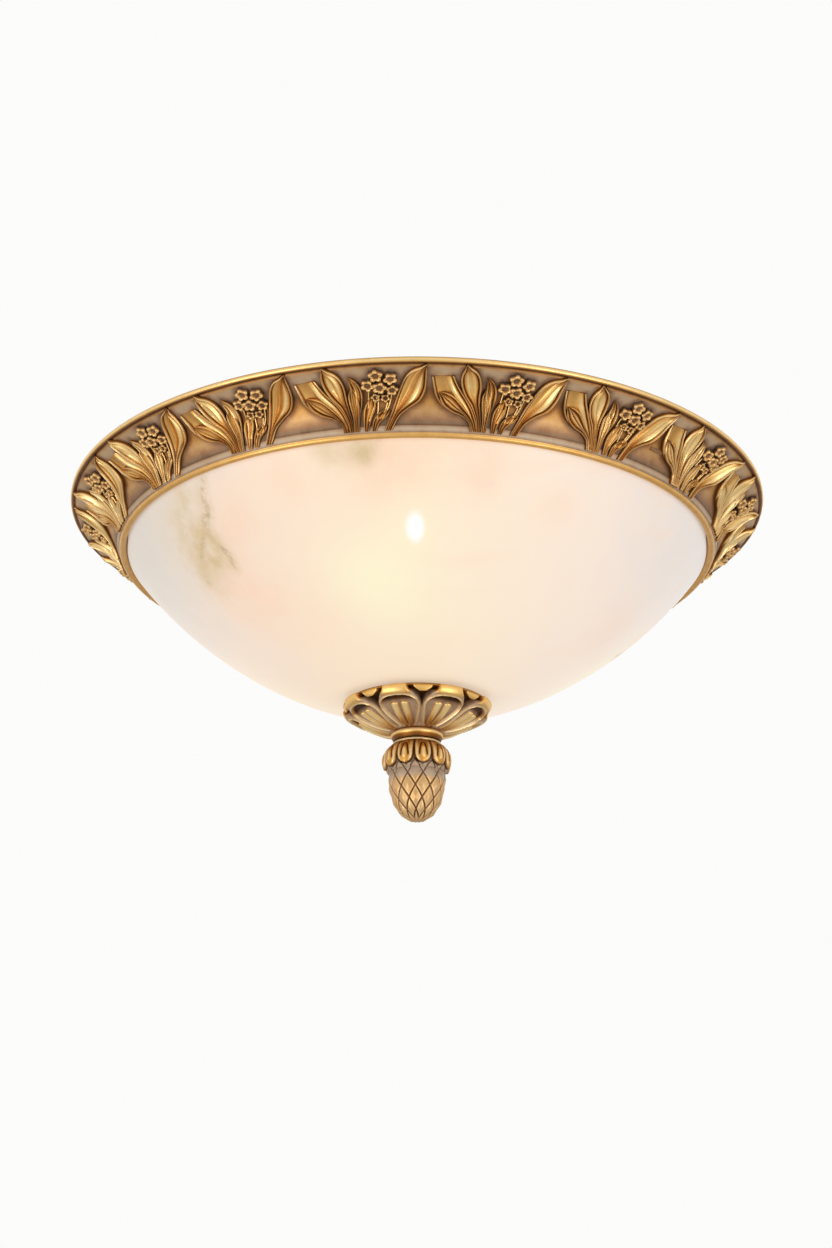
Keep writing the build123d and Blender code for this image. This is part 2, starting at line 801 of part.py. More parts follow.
# ---------------------------------------------------------------- rosette
rosette_rim = bowl_height(rosette_radius) - rosette_drop
notch_phase = petal_phase + 180 / petal_count
with BuildPart() as rosette:
    with BuildSketch(Plane.XZ):
        with BuildLine():
            Line((rod_hole, hub_top), (bowl_seat, hub_top))
            Polyline(
                (bowl_seat, hub_top),
                (rosette_radius - 2 * rosette_wall, rosette_rim - rosette_wall),
                (rosette_radius - rosette_wall / 2, rosette_rim),
                (rosette_radius, rosette_rim - rosette_wall / 2),
                (rosette_radius - rosette_wall / 2, rosette_rim - 2 * rosette_wall),
            )
            ThreePointArc(
                (rosette_radius - rosette_wall / 2, rosette_rim - 2 * rosette_wall),
                (rosette_waist, hub_bottom + rosette_waist_rise),
                (rosette_neck, hub_bottom + rosette_neck_height),
            )
            Polyline(
                (rosette_neck, hub_bottom + rosette_neck_height),
                (rosette_neck, hub_bottom),
                (rod_hole, hub_bottom),
                (rod_hole, hub_top),
            )
        make_face()
    revolve(axis=Axis.Z)
    with BuildSketch(Plane.XY.offset(rosette_rim + 1)):
        with PolarLocations(rosette_radius + petal_notch / 4, petal_count, start_angle=notch_phase):
            Circle(petal_notch)
    extrude(amount=-(rosette_rim + 1 - hub_bottom), mode=Mode.SUBTRACT)
finish(rosette, "rosette")

# ---------------------------------------------------------------- collar and acorn finial
with BuildPart() as finial_collar:
    with BuildSketch(Plane.XZ):
        with BuildLine():
            Polyline(
                (rod_hole, collar_top),
                (collar_radius - collar_roll / 2, collar_top),
                (collar_radius, collar_top - collar_roll / 2),
                (collar_radius, collar_top - 1.5 * collar_roll),
                (collar_radius - collar_roll / 2, collar_top - 2 * collar_roll),
                (collar_lip, collar_top - 2 * collar_roll),
                (collar_lip, collar_bottom),
                (rod_hole, collar_bottom),
                (rod_hole, collar_top),
            )
        make_face()
    revolve(axis=Axis.Z)
finish(finial_collar, "finial_collar")

cup_bottom = acorn_top - cup_height
nut_bottom = cup_bottom - nut_height
insert_bottom = acorn_top - insert_depth
cup_neck_end = acorn_top - cup_height * cup_neck_share
nut_taper_height = cup_bottom - nut_height * nut_taper_share
# the tip is part of a ball centred on the axis
tip_rise = nut_taper_height - nut_bottom
tip_radius = (tip_rise**2 + nut_taper**2) / (2 * tip_rise)
with BuildPart() as acorn_finial:
    with BuildSketch(Plane.XZ):
        with BuildLine():
            Polyline(
                (0, insert_bottom),
                (insert_radius + running_fit, insert_bottom),
                (insert_radius + running_fit, acorn_top),
                (cup_neck, acorn_top),
                (cup_neck, cup_neck_end),
            )
            ThreePointArc(
                (cup_neck, cup_neck_end),
                (cup_radius, acorn_top - cup_height * cup_belly_share),
                (nut_radius + cup_lip, cup_bottom),
            )
            Line((nut_radius + cup_lip, cup_bottom), (nut_radius, cup_bottom))
            ThreePointArc(
                (nut_radius, cup_bottom),
                (nut_radius * nut_belly_narrowing, cup_bottom - nut_height * nut_belly_share),
                (nut_taper, nut_taper_height),
            )
            ThreePointArc(
                (nut_taper, nut_taper_height),
                (nut_taper / 2, nut_bottom + tip_radius - sqrt(tip_radius**2 - nut_taper**2 / 4)),
                (0, nut_bottom),
            )
            Line((0, nut_bottom), (0, insert_bottom))
        make_face()
    revolve(axis=Axis.Z)
    with BuildSketch(Plane.XY.offset(acorn_top)):
        with PolarLocations(cup_radius + lobe_groove / 3, lobe_count, start_angle=lobe_phase):
            Circle(lobe_groove)
    extrude(amount=-cup_height - 1, mode=Mode.SUBTRACT)
finish(acorn_finial, "acorn_finial")

with BuildPart() as finial_insert:
    with BuildSketch(Plane.XY.offset(acorn_top)):
        Circle(insert_radius)
        Circle(rod_radius + running_fit, mode=Mode.SUBTRACT)
    extrude(amount=-insert_depth)
finish(finial_insert, "finial_insert")

# ---------------------------------------------------------------- leads from the holders to the block
# Each lead leaves its holder's neck, stays below the pan and ends in the face of the block.
block_face = block_distance - block_width / 2
neck_top = -lamp_axis_drop + holder_neck_radius
lead_routes = [
    [
        (7.0, -33.0, neck_top),
        (7.0, -33.0, neck_top + 9.0),
        (17.5, -26.0, neck_top + 12.0),
        (15.5, -8.0, neck_top + 10.0),
        (8.0, 9.0, neck_top + 11.0),
        (0.5, 27.0, neck_top + 12.0),
        (0.0, 48.0, pole_height),
        (0.0, block_face, pole_height),
    ],
    [
        (30.0, 23.0, neck_top + 2.0),
        (27.0, 31.0, neck_top + 8.0),
        (18.0, 43.0, neck_top + 13.0),
        (pole_spacing, 53.0, pole_height),
        (pole_spacing, block_face, pole_height),
    ],
    [
        (-30.0, 23.0, neck_top + 2.0),
        (-27.0, 31.0, neck_top + 8.0),
        (-18.0, 43.0, neck_top + 13.0),
        (-pole_spacing, 53.0, pole_height),
        (-pole_spacing, block_face, pole_height),
    ],
]


def corner_radii(points):
    """The largest round that each corner of a route has room for."""
    radii = []
    for before, corner, after in zip(points, points[1:], points[2:]):
        run_in = Vector(corner) - Vector(before)
        run_out = Vector(after) - Vector(corner)
        turn = run_in.get_angle(run_out)
        shorter = min(run_in.length, run_out.length)
        radii.append(lead_bend_share * shorter / tan(radians(turn / 2)))
    return radii


with BuildPart() as holder_leads:
    for route in lead_routes:
        radii = corner_radii(route)
        print("lead corner radii:", [round(radius, 1) for radius in radii])
        with BuildLine() as lead_path:
            FilletPolyline(*route, radius=radii)
        with BuildSketch(Plane(origin=lead_path.line @ 0, z_dir=lead_path.line % 0)):
            Circle(lead_radius)
        sweep(path=lead_path.line)
finish(holder_leads, "holder_leads")
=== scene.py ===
"""Looks of a flush-mounted bowl light: a cast brass ring, an alabaster bowl, a rosette and an acorn finial.

Classes hold their sizes in millimetres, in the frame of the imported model: z = 0 is the ceiling and the
light hangs below it on the Z axis. Finished meshes are in metres, at the origin.
"""

import json
import logging
import math
from dataclasses import dataclass
from enum import Enum

import bpy
import numpy as np
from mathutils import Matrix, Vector


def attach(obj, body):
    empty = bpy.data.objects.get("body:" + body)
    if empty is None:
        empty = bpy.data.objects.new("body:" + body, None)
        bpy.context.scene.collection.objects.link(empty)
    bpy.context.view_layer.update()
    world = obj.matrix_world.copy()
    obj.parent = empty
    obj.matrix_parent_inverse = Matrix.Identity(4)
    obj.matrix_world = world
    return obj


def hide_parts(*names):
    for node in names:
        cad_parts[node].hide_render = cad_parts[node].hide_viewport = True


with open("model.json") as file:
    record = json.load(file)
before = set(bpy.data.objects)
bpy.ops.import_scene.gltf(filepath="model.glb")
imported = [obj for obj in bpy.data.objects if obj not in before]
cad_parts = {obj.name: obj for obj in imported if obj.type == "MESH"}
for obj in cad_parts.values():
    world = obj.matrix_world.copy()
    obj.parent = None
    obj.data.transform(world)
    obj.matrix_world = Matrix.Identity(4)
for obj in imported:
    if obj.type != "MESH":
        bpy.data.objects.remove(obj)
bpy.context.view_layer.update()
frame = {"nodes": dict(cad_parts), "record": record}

MM = 0.001
LOG = logging.getLogger("bowl_light")

Colour = tuple[float, float, float]
Point = tuple[float, float]
Triple = tuple[float, float, float]
Row = tuple[float, float, float, float]
Faces = list[tuple[int, ...]]
Piece = bpy.types.Object
Material = bpy.types.Material
Socket = bpy.types.NodeSocket
Stops = tuple[tuple[float, Colour], ...]


def linear(red: int, green: int, blue: int) -> Colour:
    """The linear colour of a display colour.

    Args:
        red: 0 to 255.
        green: 0 to 255.
        blue: 0 to 255.

    Returns:
        The three linear values, from 0 to 1.
    """
    out = []
    for value in (red, green, blue):
        share = value / 255
        out.append(share / 12.92 if share <= 0.04045 else ((share + 0.055) / 1.055) ** 2.4)
    return (out[0], out[1], out[2])


# ---------------------------------------------------------------- meshes
@dataclass
class Skin:
    """Points, faces and named point values of a mesh that is being made, in millimetres."""

    points: np.ndarray
    faces: Faces
    marks: dict[str, np.ndarray]

    @staticmethod
    def merged(skins: "list[Skin]") -> "Skin":
        """Several skins as one.

        Args:
            skins: The skins, in order.

        Returns:
            One skin that holds them all.
        """
        faces: Faces = []
        start = 0
        for skin in skins:
            faces += [tuple(index + start for index in face) for face in skin.faces]
            start += len(skin.points)
        marks = {key: np.concatenate([skin.marks[key] for skin in skins]) for key in skins[0].marks}
        return Skin(np.concatenate([skin.points for skin in skins]), faces, marks)

    def build(self, name: str, sharp_degrees: float = 180.0) -> Piece:
        """The skin as an object at the origin, in metres.

        Args:
            name: The object's name.
            sharp_degrees: Edges that turn more than this are sharp.

        Returns:
            The new object.
        """
        mesh = bpy.data.meshes.new(name)
        mesh.from_pydata((self.points * MM).tolist(), [], self.faces)
        for key, values in self.marks.items():
            layer = mesh.attributes.new(key, "FLOAT", "POINT")
            layer.data.foreach_set("value", np.asarray(values, np.float32))
        mesh.validate()
        mesh.polygons.foreach_set("use_smooth", [True] * len(mesh.polygons))
        if sharp_degrees < 180:
            mesh.set_sharp_from_angle(angle=math.radians(sharp_degrees))
        obj = bpy.data.objects.new(name, mesh)
        bpy.context.scene.collection.objects.link(obj)
        return obj


def falloff(distance: np.ndarray, width: float) -> np.ndarray:
    """A bell over a distance, 1 in the middle."""
    return np.exp(-((distance / width) ** 2))


def step_up(value: np.ndarray, low: float, high: float) -> np.ndarray:
    """A smooth rise from 0 at low to 1 at high."""
    share = np.clip((value - low) / (high - low), 0, 1)
    return share * share * (3 - 2 * share)


def eased(x: np.ndarray, knots: tuple[Point, ...]) -> np.ndarray:
    """A curve through knots that is level at each of them.

    Args:
        x: Where the curve is read.
        knots: The knots (x, y), in rising order of x.

    Returns:
        The curve's values.
    """
    xs = np.array([knot[0] for knot in knots])
    ys = np.array([knot[1] for knot in knots])
    place = np.clip(np.searchsorted(xs, x, side="right") - 1, 0, len(xs) - 2)
    return ys[place] + (ys[place + 1] - ys[place]) * step_up(x, xs[place], xs[place + 1])


def run_along(line: np.ndarray) -> np.ndarray:
    """The distance of each point of a line from its first, along the line."""
    return np.concatenate([[0], np.cumsum(np.linalg.norm(np.diff(line, axis=0), axis=1))])


def flowing(points: tuple[Point, ...], count: int) -> np.ndarray:
    """Points spread along a smooth line through the given ones.

    Args:
        points: The points that the line passes.
        count: How many points come back.

    Returns:
        An array of count points.
    """
    knots = np.array(points, float)
    run = run_along(knots)
    slopes = np.gradient(knots, run, axis=0)
    t = np.linspace(0, run[-1], count)
    place = np.clip(np.searchsorted(run, t, side="right") - 1, 0, len(run) - 2)
    width = (run[place + 1] - run[place])[:, None]
    share = (t[:, None] - run[place][:, None]) / width
    a, b = knots[place], knots[place + 1]
    da, db = slopes[place] * width, slopes[place + 1] * width
    square, cube = share**2, share**3
    return (
        (2 * cube - 3 * square + 1) * a
        + (cube - 2 * square + share) * da
        + (3 * square - 2 * cube) * b
        + (cube - square) * db
    )


def joined(rings: list[np.ndarray]) -> tuple[np.ndarray, Faces]:
    """A closed tube of rings of points, with a flat face at each end.

    Args:
        rings: Arrays of as many points each, in order.

    Returns:
        All the points, and the faces.
    """
    sides, faces = len(rings[0]), []
    for ring in range(len(rings) - 1):
        for step in range(sides):
            after = (step + 1) % sides
            a, b = ring * sides, (ring + 1) * sides
            faces.append((a + step, b + step, b + after, a + after))
    faces.append(tuple(range(sides)))
    faces.append(tuple(range(len(rings) * sides - 1, (len(rings) - 1) * sides - 1, -1)))
    return np.concatenate(rings), faces


def slab_faces(rows: int, columns: int) -> Faces:
    """Faces of a closed slab: a grid of points on top, then two points a row, one below each edge.

    Args:
        rows: The grid's rows.
        columns: The grid's columns.

    Returns:
        The faces.
    """
    faces = []
    for row in range(rows - 1):
        for column in range(columns - 1):
            a = row * columns + column
            faces.append((a, a + 1, a + columns + 1, a + columns))
    count = rows * columns
    for row in range(rows - 1):
        a, b = row * columns, (row + 1) * columns
        low_a, low_b = count + 2 * row, count + 2 * row + 2
        faces.append((a, b, low_b, low_a))
        faces.append((b + columns - 1, a + columns - 1, low_a + 1, low_b + 1))
        faces.append((low_a, low_b, low_b + 1, low_a + 1))
    faces.append((*range(columns - 1, -1, -1), count, count + 1))
    faces.append((*range(count - columns, count), count + 2 * rows - 1, count + 2 * rows - 2))
    return faces


def arc(centre: Point, radius: float, first: float, last: float, count: int) -> list[Point]:
    """Points on an arc, ends included.

    Args:
        centre: The arc's centre.
        radius: Its radius.
        first: The first angle, in degrees.
        last: The last angle, in degrees.
        count: How many points.

    Returns:
        The points.
    """
    angles = np.radians(np.linspace(first, last, count))
    return [(centre[0] + radius * math.cos(a), centre[1] + radius * math.sin(a)) for a in angles]


def around(section: np.ndarray, angles: np.ndarray) -> np.ndarray:
    """Points of a section (radius, height) at each angle about the Z axis.

    Args:
        section: Array (..., 2), the same for each angle or one row for each.
        angles: Angles in radians.

    Returns:
        Array (angles, points, 3).
    """
    radius = np.broadcast_to(section[..., 0], (len(angles), section.shape[-2]))
    height = np.broadcast_to(section[..., 1], radius.shape)
    return np.stack(
        [radius * np.cos(angles)[:, None], radius * np.sin(angles)[:, None], height], axis=-1
    )


def lathe(section: np.ndarray, turns: int, start: float = 0.0, **marks: object) -> Skin:
    """A closed solid made by turning a closed section about the Z axis.

    Args:
        section: Array (points, 2) or (turns, points, 2), clockwise. Points on the axis become one.
        turns: How many steps make the full turn.
        start: The first step's angle in radians.
        **marks: Values by name, at each section point, or at each turn and point.

    Returns:
        The skin.
    """
    angles = start + np.arange(turns) * 2 * math.pi / turns
    points = around(section, angles)
    count = points.shape[1]
    place = np.arange(turns * count).reshape(turns, count)
    poles = np.abs(points[..., :2]).max(axis=(0, 2)) < 1e-6
    place[:, poles] = place[0, poles]
    kept = np.unique(place)
    place = np.searchsorted(kept, place)
    here, there = place, np.roll(place, -1, axis=0)
    quads = np.stack([here, there, np.roll(there, -1, axis=1), np.roll(here, -1, axis=1)], -1).reshape(-1, 4)
    faces = []
    for quad in quads.tolist():
        corners = tuple(dict.fromkeys(quad))
        if len(corners) > 2:
            faces.append(corners)
    spread = {key: np.broadcast_to(value, (turns, count)).reshape(-1)[kept] for key, value in marks.items()}
    return Skin(points.reshape(-1, 3)[kept], faces, spread)


class Tree:
    """A node tree, with short calls that add nodes and join them."""

    def __init__(self, tree: bpy.types.NodeTree) -> None:
        """Takes over a tree and empties it.

        Args:
            tree: The tree.
        """
        self.tree = tree
        tree.nodes.clear()

    def add(self, kind: str, inputs: dict | None = None, **settings: object) -> bpy.types.Node:
        """Adds a node.

        Args:
            kind: The node's type.
            inputs: Values or output sockets by input name or number.
            **settings: Properties of the node.

        Returns:
            The node.
        """
        node = self.tree.nodes.new(kind)
        for key, value in settings.items():
            setattr(node, key, value)
        for key, value in (inputs or {}).items():
            self.feed(node.inputs[key], value)
        return node

    def feed(self, socket: Socket, value: object) -> None:
        """Joins an output to a socket, or sets the socket's value.

        Args:
            socket: The input socket.
            value: An output socket, a number or a colour.
        """
        if isinstance(value, Socket):
            self.tree.links.new(value, socket)
        elif isinstance(value, tuple) and len(value) == 3 and socket.type == "RGBA":
            socket.default_value = (*value, 1.0)
        else:
            socket.default_value = value

    def maths(self, operation: str, *values: object) -> Socket:
        """A sum on numbers.

        Args:
            operation: What is done.
            *values: The operands.

        Returns:
            The result.
        """
        return self.add("ShaderNodeMath", dict(enumerate(values)), operation=operation).outputs[0]


class PolarCopies:
    """A Geometry Nodes tree that repeats a piece in equal steps about the Z axis."""

    def __init__(self) -> None:
        """Builds the tree with its named inputs."""
        tree = bpy.data.node_groups.new("polar_copies", "GeometryNodeTree")
        sockets = (("Geometry", "Geometry"), ("Count", "Int"), ("First angle", "Float"), ("Finish", "Material"))
        for name, kind in sockets:
            tree.interface.new_socket(name, in_out="INPUT", socket_type=f"NodeSocket{kind}")
        tree.interface.new_socket("Geometry", in_out="OUTPUT", socket_type="NodeSocketGeometry")
        g = Tree(tree)
        given = g.add("NodeGroupInput").outputs
        line = g.add("GeometryNodeMeshLine", {"Count": given["Count"], "Offset": (0.0, 0.0, 0.0)})
        step = g.maths("DIVIDE", 2 * math.pi, given["Count"])
        index = g.add("GeometryNodeInputIndex").outputs[0]
        turn = g.maths("MULTIPLY_ADD", index, step, given["First angle"])
        where = {"Points": line.outputs["Mesh"], "Instance": given["Geometry"]}
        where["Rotation"] = g.add("ShaderNodeCombineXYZ", {"Z": turn}).outputs[0]
        copies = g.add("GeometryNodeInstanceOnPoints", where)
        real = g.add("GeometryNodeRealizeInstances", {0: copies.outputs[0]})
        paint = {"Geometry": real.outputs[0], "Material": given["Finish"]}
        g.add("NodeGroupOutput", {0: g.add("GeometryNodeSetMaterial", paint).outputs[0]})
        self.tree = tree

    def spread(
        self, obj: Piece, count: int, finish: Material, first: float = 0.0
    ) -> Piece:
        """Replaces an object's mesh by its copies about the axis.

        Args:
            obj: The piece, a mesh object at the origin.
            count: How many copies.
            finish: The copies' material.
            first: The first copy's turn, in degrees.

        Returns:
            The same object with the plain mesh of all copies.
        """
        modifier = obj.modifiers.new("copies", "NODES")
        modifier.node_group = self.tree
        values = {"Count": count, "First angle": math.radians(first), "Finish": finish}
        for item in self.tree.interface.items_tree:
            if item.in_out == "INPUT" and item.name in values:
                modifier[item.identifier] = values[item.name]
        bpy.context.view_layer.update()
        graph = bpy.context.evaluated_depsgraph_get()
        mesh = bpy.data.meshes.new_from_object(obj.evaluated_get(graph))
        obj.modifiers.remove(modifier)
        obj.data = mesh
        return obj


# ---------------------------------------------------------------- finishes
class Graph(Tree):
    """A material's node tree, with the textures and mixes that the finishes use."""

    def __init__(self, name: str) -> None:
        """Starts an empty material.

        Args:
            name: The material's name.
        """
        self.material = bpy.data.materials.new(name)
        self.material.use_nodes = True
        super().__init__(self.material.node_tree)

    def place(self) -> Socket:
        """The object's own coordinates."""
        return self.add("ShaderNodeTexCoord").outputs["Object"]

    def value(self, name: str) -> Socket:
        """A point attribute of the mesh."""
        return self.add("ShaderNodeAttribute", attribute_name=name).outputs["Fac"]

    def noise(
        self, scale: float, detail: float = 4.0, rough: float = 0.55, where: object = None
    ) -> Socket:
        """Soft noise from 0 to 1.

        Args:
            scale: Waves per metre.
            detail: Octaves.
            rough: How strong the finer ones are.
            where: Coordinates, the object's own if left out.

        Returns:
            The noise.
        """
        inputs = {"Vector": where or self.place(), "Scale": scale, "Detail": detail, "Roughness": rough}
        return self.add("ShaderNodeTexNoise", inputs).outputs["Fac"]

    def span(self, value: object, low: float, high: float, to: Point = (0.0, 1.0)) -> Socket:
        """A value's smooth rise between two levels.

        Args:
            value: The value.
            low: Where the rise starts.
            high: Where it ends.
            to: The results at the two ends.

        Returns:
            The mapped value.
        """
        inputs = {"Value": value, 1: low, 2: high, 3: to[0], 4: to[1]}
        return self.add("ShaderNodeMapRange", inputs, interpolation_type="SMOOTHSTEP").outputs[0]

    def ramp(self, value: object, stops: Stops) -> Socket:
        """Colours along a value.

        Args:
            value: The value.
            stops: Places and colours.

        Returns:
            The colour.
        """
        node = self.add("ShaderNodeValToRGB", {0: value})
        marks = node.color_ramp.elements
        while len(marks) < len(stops):
            marks.new(0.5)
        for mark, (place, colour) in zip(marks, stops):
            mark.position = place
            mark.color = (*colour, 1.0)
        return node.outputs[0]

    def blend(self, share: object, first: object, second: object, how: str = "MIX") -> Socket:
        """Two colours mixed.

        Args:
            share: How much of the second.
            first: A colour.
            second: A colour.
            how: The way they mix.

        Returns:
            The colour.
        """
        node = self.add("ShaderNodeMix", data_type="RGBA", blend_type=how)
        self.feed(node.inputs[0], share)
        self.feed(node.inputs[6], first)
        self.feed(node.inputs[7], second)
        return node.outputs[2]

    def bump(self, height: object, distance: float, strength: float = 1.0) -> Socket:
        """A bumped normal.

        Args:
            height: The height from 0 to 1.
            distance: What 1 stands for, in metres.
            strength: How much of it is taken.

        Returns:
            The normal.
        """
        inputs = {"Height": height, "Distance": distance, "Strength": strength}
        return self.add("ShaderNodeBump", inputs).outputs[0]

    def finish(self, **inputs: object) -> Material:
        """Ends the tree in a Principled shader.

        Args:
            **inputs: The shader's inputs, with underscores for spaces.

        Returns:
            The material.
        """
        named = {key.replace("_", " "): value for key, value in inputs.items()}
        shader = self.add("ShaderNodeBsdfPrincipled", named)
        out = self.add("ShaderNodeOutputMaterial")
        self.tree.links.new(shader.outputs[0], out.inputs[0])
        return self.material


@dataclass(frozen=True)
class CastBrass:
    """Cast brass with a dark patina in its hollows and rubbed crests, and the painted highlights and shade that
    the mesh's tone carries. It reads the tone and wash of the mesh.
    """

    name: str
    hollow: Colour = linear(60, 34, 14)
    brown: Colour = linear(148, 93, 38)
    gold: Colour = linear(224, 171, 90)
    crest: Colour = linear(251, 224, 160)
    wash_colour: Colour = linear(190, 170, 146)

    def build(self) -> Material:
        """The material."""
        g = Graph(self.name)
        mottle = g.noise(140.0, 5.0, 0.6)
        fine = g.noise(1400.0, 3.0, 0.6)
        tone = g.maths("ADD", g.value("tone"), g.maths("MULTIPLY_ADD", mottle, 0.22, -0.11))
        metal = g.ramp(
            tone, ((0.0, self.hollow), (0.3, self.brown), (0.62, self.gold), (1.0, self.crest))
        )
        wash = g.maths("MULTIPLY", g.value("wash"), g.span(mottle, 0.25, 0.6, (0.65, 1.0)))
        colour = g.blend(wash, metal, self.wash_colour)
        speck = g.span(fine, 0.3, 0.42, (0.82, 1.0))
        colour = g.blend(1.0, colour, speck, "MULTIPLY")
        worn = g.span(tone, 0.15, 0.85)
        rough = g.maths("MULTIPLY_ADD", worn, -0.16, 0.54)
        rough = g.maths("ADD", rough, g.maths("MULTIPLY", wash, 0.2))
        rough = g.maths("ADD", rough, g.maths("MULTIPLY_ADD", fine, 0.1, -0.05))
        metallic = g.maths("MULTIPLY_ADD", wash, -0.5, 0.96)
        normal = g.bump(g.maths("ADD", fine, g.maths("MULTIPLY", mottle, 2.0)), 0.0001, 0.22)
        return g.finish(Base_Color=colour, Metallic=metallic, Roughness=rough, Normal=normal)


def hand_over(piece: Piece, node: str, body: str) -> Piece:
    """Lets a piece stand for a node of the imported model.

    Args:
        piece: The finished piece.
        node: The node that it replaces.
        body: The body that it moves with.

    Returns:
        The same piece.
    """
    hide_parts(node)
    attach(piece, body)
    return piece


def show(skin: Skin, name: str, sharp: float, finish: Material, node: str, body: str) -> Piece:
    """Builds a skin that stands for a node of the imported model.

    Args:
        skin: The skin.
        name: The piece's name.
        sharp: Edges that turn more than this many degrees are sharp.
        finish: Its material.
        node: The node that it stands for.
        body: The body that it moves with.

    Returns:
        The piece.
    """
    piece = skin.build(name, sharp)
    piece.data.materials.append(finish)
    return hand_over(piece, node, body)


# ---------------------------------------------------------------- the cast ring
@dataclass(frozen=True)
class Blade:
    """One leaf in relief between two edge lines on the unrolled cove, in millimetres (along, across).

    A thin raised rim and a narrow groove follow both edges; the section is the body between them.
    """

    left: tuple[Point, ...]
    right: tuple[Point, ...]
    section: tuple[Point, ...]
    lift: tuple[Point, ...]
    rows: int = 24
    columns: int = 9
    base: float = 0.0
    rim: float = 2.5
    rim_at: float = 0.75
    rim_width: float = 0.62
    groove_at: float = 1.8
    groove_width: float = 0.36


# Steps in from a leaf's edge in mm, heights in mm by share of its width, and a factor by share of its length.
EDGE_STEPS = (0.0, 0.18, 0.45, 0.75, 1.1, 1.45, 1.8, 2.15, 2.6)
TWIN_BLADE = ((0.0, 1.4), (0.26, 2.5), (0.44, 1.7), (0.5, 0.7), (0.56, 1.7), (0.76, 2.5), (1.0, 1.4))
BOLD_TWIN = ((0.0, 1.3), (0.28, 2.5), (0.4, 1.5), (0.45, 0.6), (0.52, 1.8), (0.8, 3.1), (1.0, 1.6))
SPOON = ((0.0, 1.2), (0.5, 2.7), (1.0, 1.2))
FOLDED = ((0.0, 0.9), (0.4, 0.6), (0.62, 1.0), (0.84, 2.7), (1.0, 1.9))
HALF_OPEN = (
    (0.0, 1.0), (0.26, 0.6), (0.38, 1.6), (0.43, 2.7), (0.47, 1.2), (0.52, 0.6), (0.68, 2.0), (0.84, 3.0), (1.0, 1.4),
)
LIFT = ((0.0, 0.75), (0.25, 0.9), (0.6, 1.25), (0.9, 1.0), (1.0, 0.55))

SPRAY = {
    "folded_leaf": Blade(
        (
            (-8.4, -4.4), (-9.6, 1.0), (-14.5, 5.3), (-22.8, 8.0),
            (-29.1, 12.6), (-32.8, 18.6), (-34.4, 25.0), (-35.6, 31.6),
        ),
        ((-3.6, -4.4), (-4.7, 2.0), (-7.0, 8.0), (-10.2, 13.6), (-14.3, 19.4), (-18.2, 25.6), (-21.6, 32.6)),
        FOLDED, ((0.0, 0.6), (0.4, 0.75), (0.72, 1.35), (0.86, 1.0), (1.0, 0.5)), rows=26,
    ),
    "folded_leaf_body": Blade(
        ((-8.6, -4.4), (-9.8, 0.6), (-14.4, 4.6), (-22.2, 7.6), (-28.0, 12.4), (-31.0, 21.2)),
        ((-5.0, -4.4), (-8.4, 4.2), (-12.2, 9.6), (-16.4, 14.4), (-20.0, 18.1), (-25.0, 20.8), (-31.0, 21.2)),
        TWIN_BLADE, ((0.0, 0.8), (0.4, 1.2), (0.75, 1.4), (1.0, 0.9)), base=0.6,
    ),
    "tall_leaf": Blade(
        ((-4.2, -4.4), (-4.9, 2.3), (-8.7, 11.1), (-14.4, 19.4), (-17.4, 28.0), (-17.6, 34.0), (-15.1, 42.6)),
        (
            (-0.4, -4.4), (-1.8, 3.2), (-3.0, 10.8), (-3.7, 18.8),
            (-3.9, 25.9), (-5.4, 32.8), (-9.0, 38.8), (-15.1, 42.6),
        ),
        BOLD_TWIN, LIFT, rows=28, base=0.3,
    ),
    "mid_leaf_back": Blade(
        ((-0.8, -4.4), (-0.9, 5.8), (-1.6, 14.9), (-1.0, 24.0), (-1.4, 33.3)),
        ((2.2, -4.4), (3.4, 5.0), (5.6, 12.4), (6.6, 20.0), (5.6, 26.0), (3.0, 30.2), (-1.4, 33.3)),
        SPOON, LIFT, rows=20,
    ),
    "mid_leaf": Blade(
        ((-0.9, -4.4), (-1.4, 5.8), (-2.6, 13.0), (-2.8, 20.0), (-0.3, 25.2)),
        ((1.4, -4.4), (2.6, 3.4), (3.7, 10.0), (3.6, 17.0), (2.4, 22.0), (-0.3, 25.2)),
        TWIN_BLADE, LIFT, rows=18, base=0.8,
    ),
    "short_leaf": Blade(
        ((5.6, -4.4), (5.2, 2.5), (5.6, 8.0), (7.6, 13.2), (12.3, 19.0)),
        ((8.4, -4.4), (11.2, 3.4), (13.8, 8.8), (14.4, 13.6), (12.3, 19.0)),
        SPOON, LIFT, rows=16,
    ),
    "low_leaf": Blade(
        ((10.6, -4.4), (12.0, 2.6), (15.6, 7.2), (22.4, 10.0)),
        ((13.4, -4.4), (16.4, 0.6), (20.6, 3.8), (23.0, 6.8), (22.4, 10.0)),
        SPOON, LIFT, rows=16,
    ),
    "long_leaf": Blade(
        ((19.0, -4.4), (24.6, 9.1), (27.7, 17.6), (30.8, 26.1), (33.4, 32.2), (38.0, 37.8), (46.8, 41.6)),
        ((24.0, -4.4), (30.6, 5.3), (36.8, 10.0), (42.9, 14.5), (46.2, 21.5), (47.0, 31.0), (46.8, 41.6)),
        HALF_OPEN, LIFT, rows=34, columns=15,
    ),
}


@dataclass(frozen=True)
class Blossom:
    """A five-lobed cup with a deep eye: its place on the unrolled cove, its size and its lean."""

    along: float
    across: float
    radius: float
    turn: float
    rise: float = 4.0
    lean: Point = (0.0, 0.0)
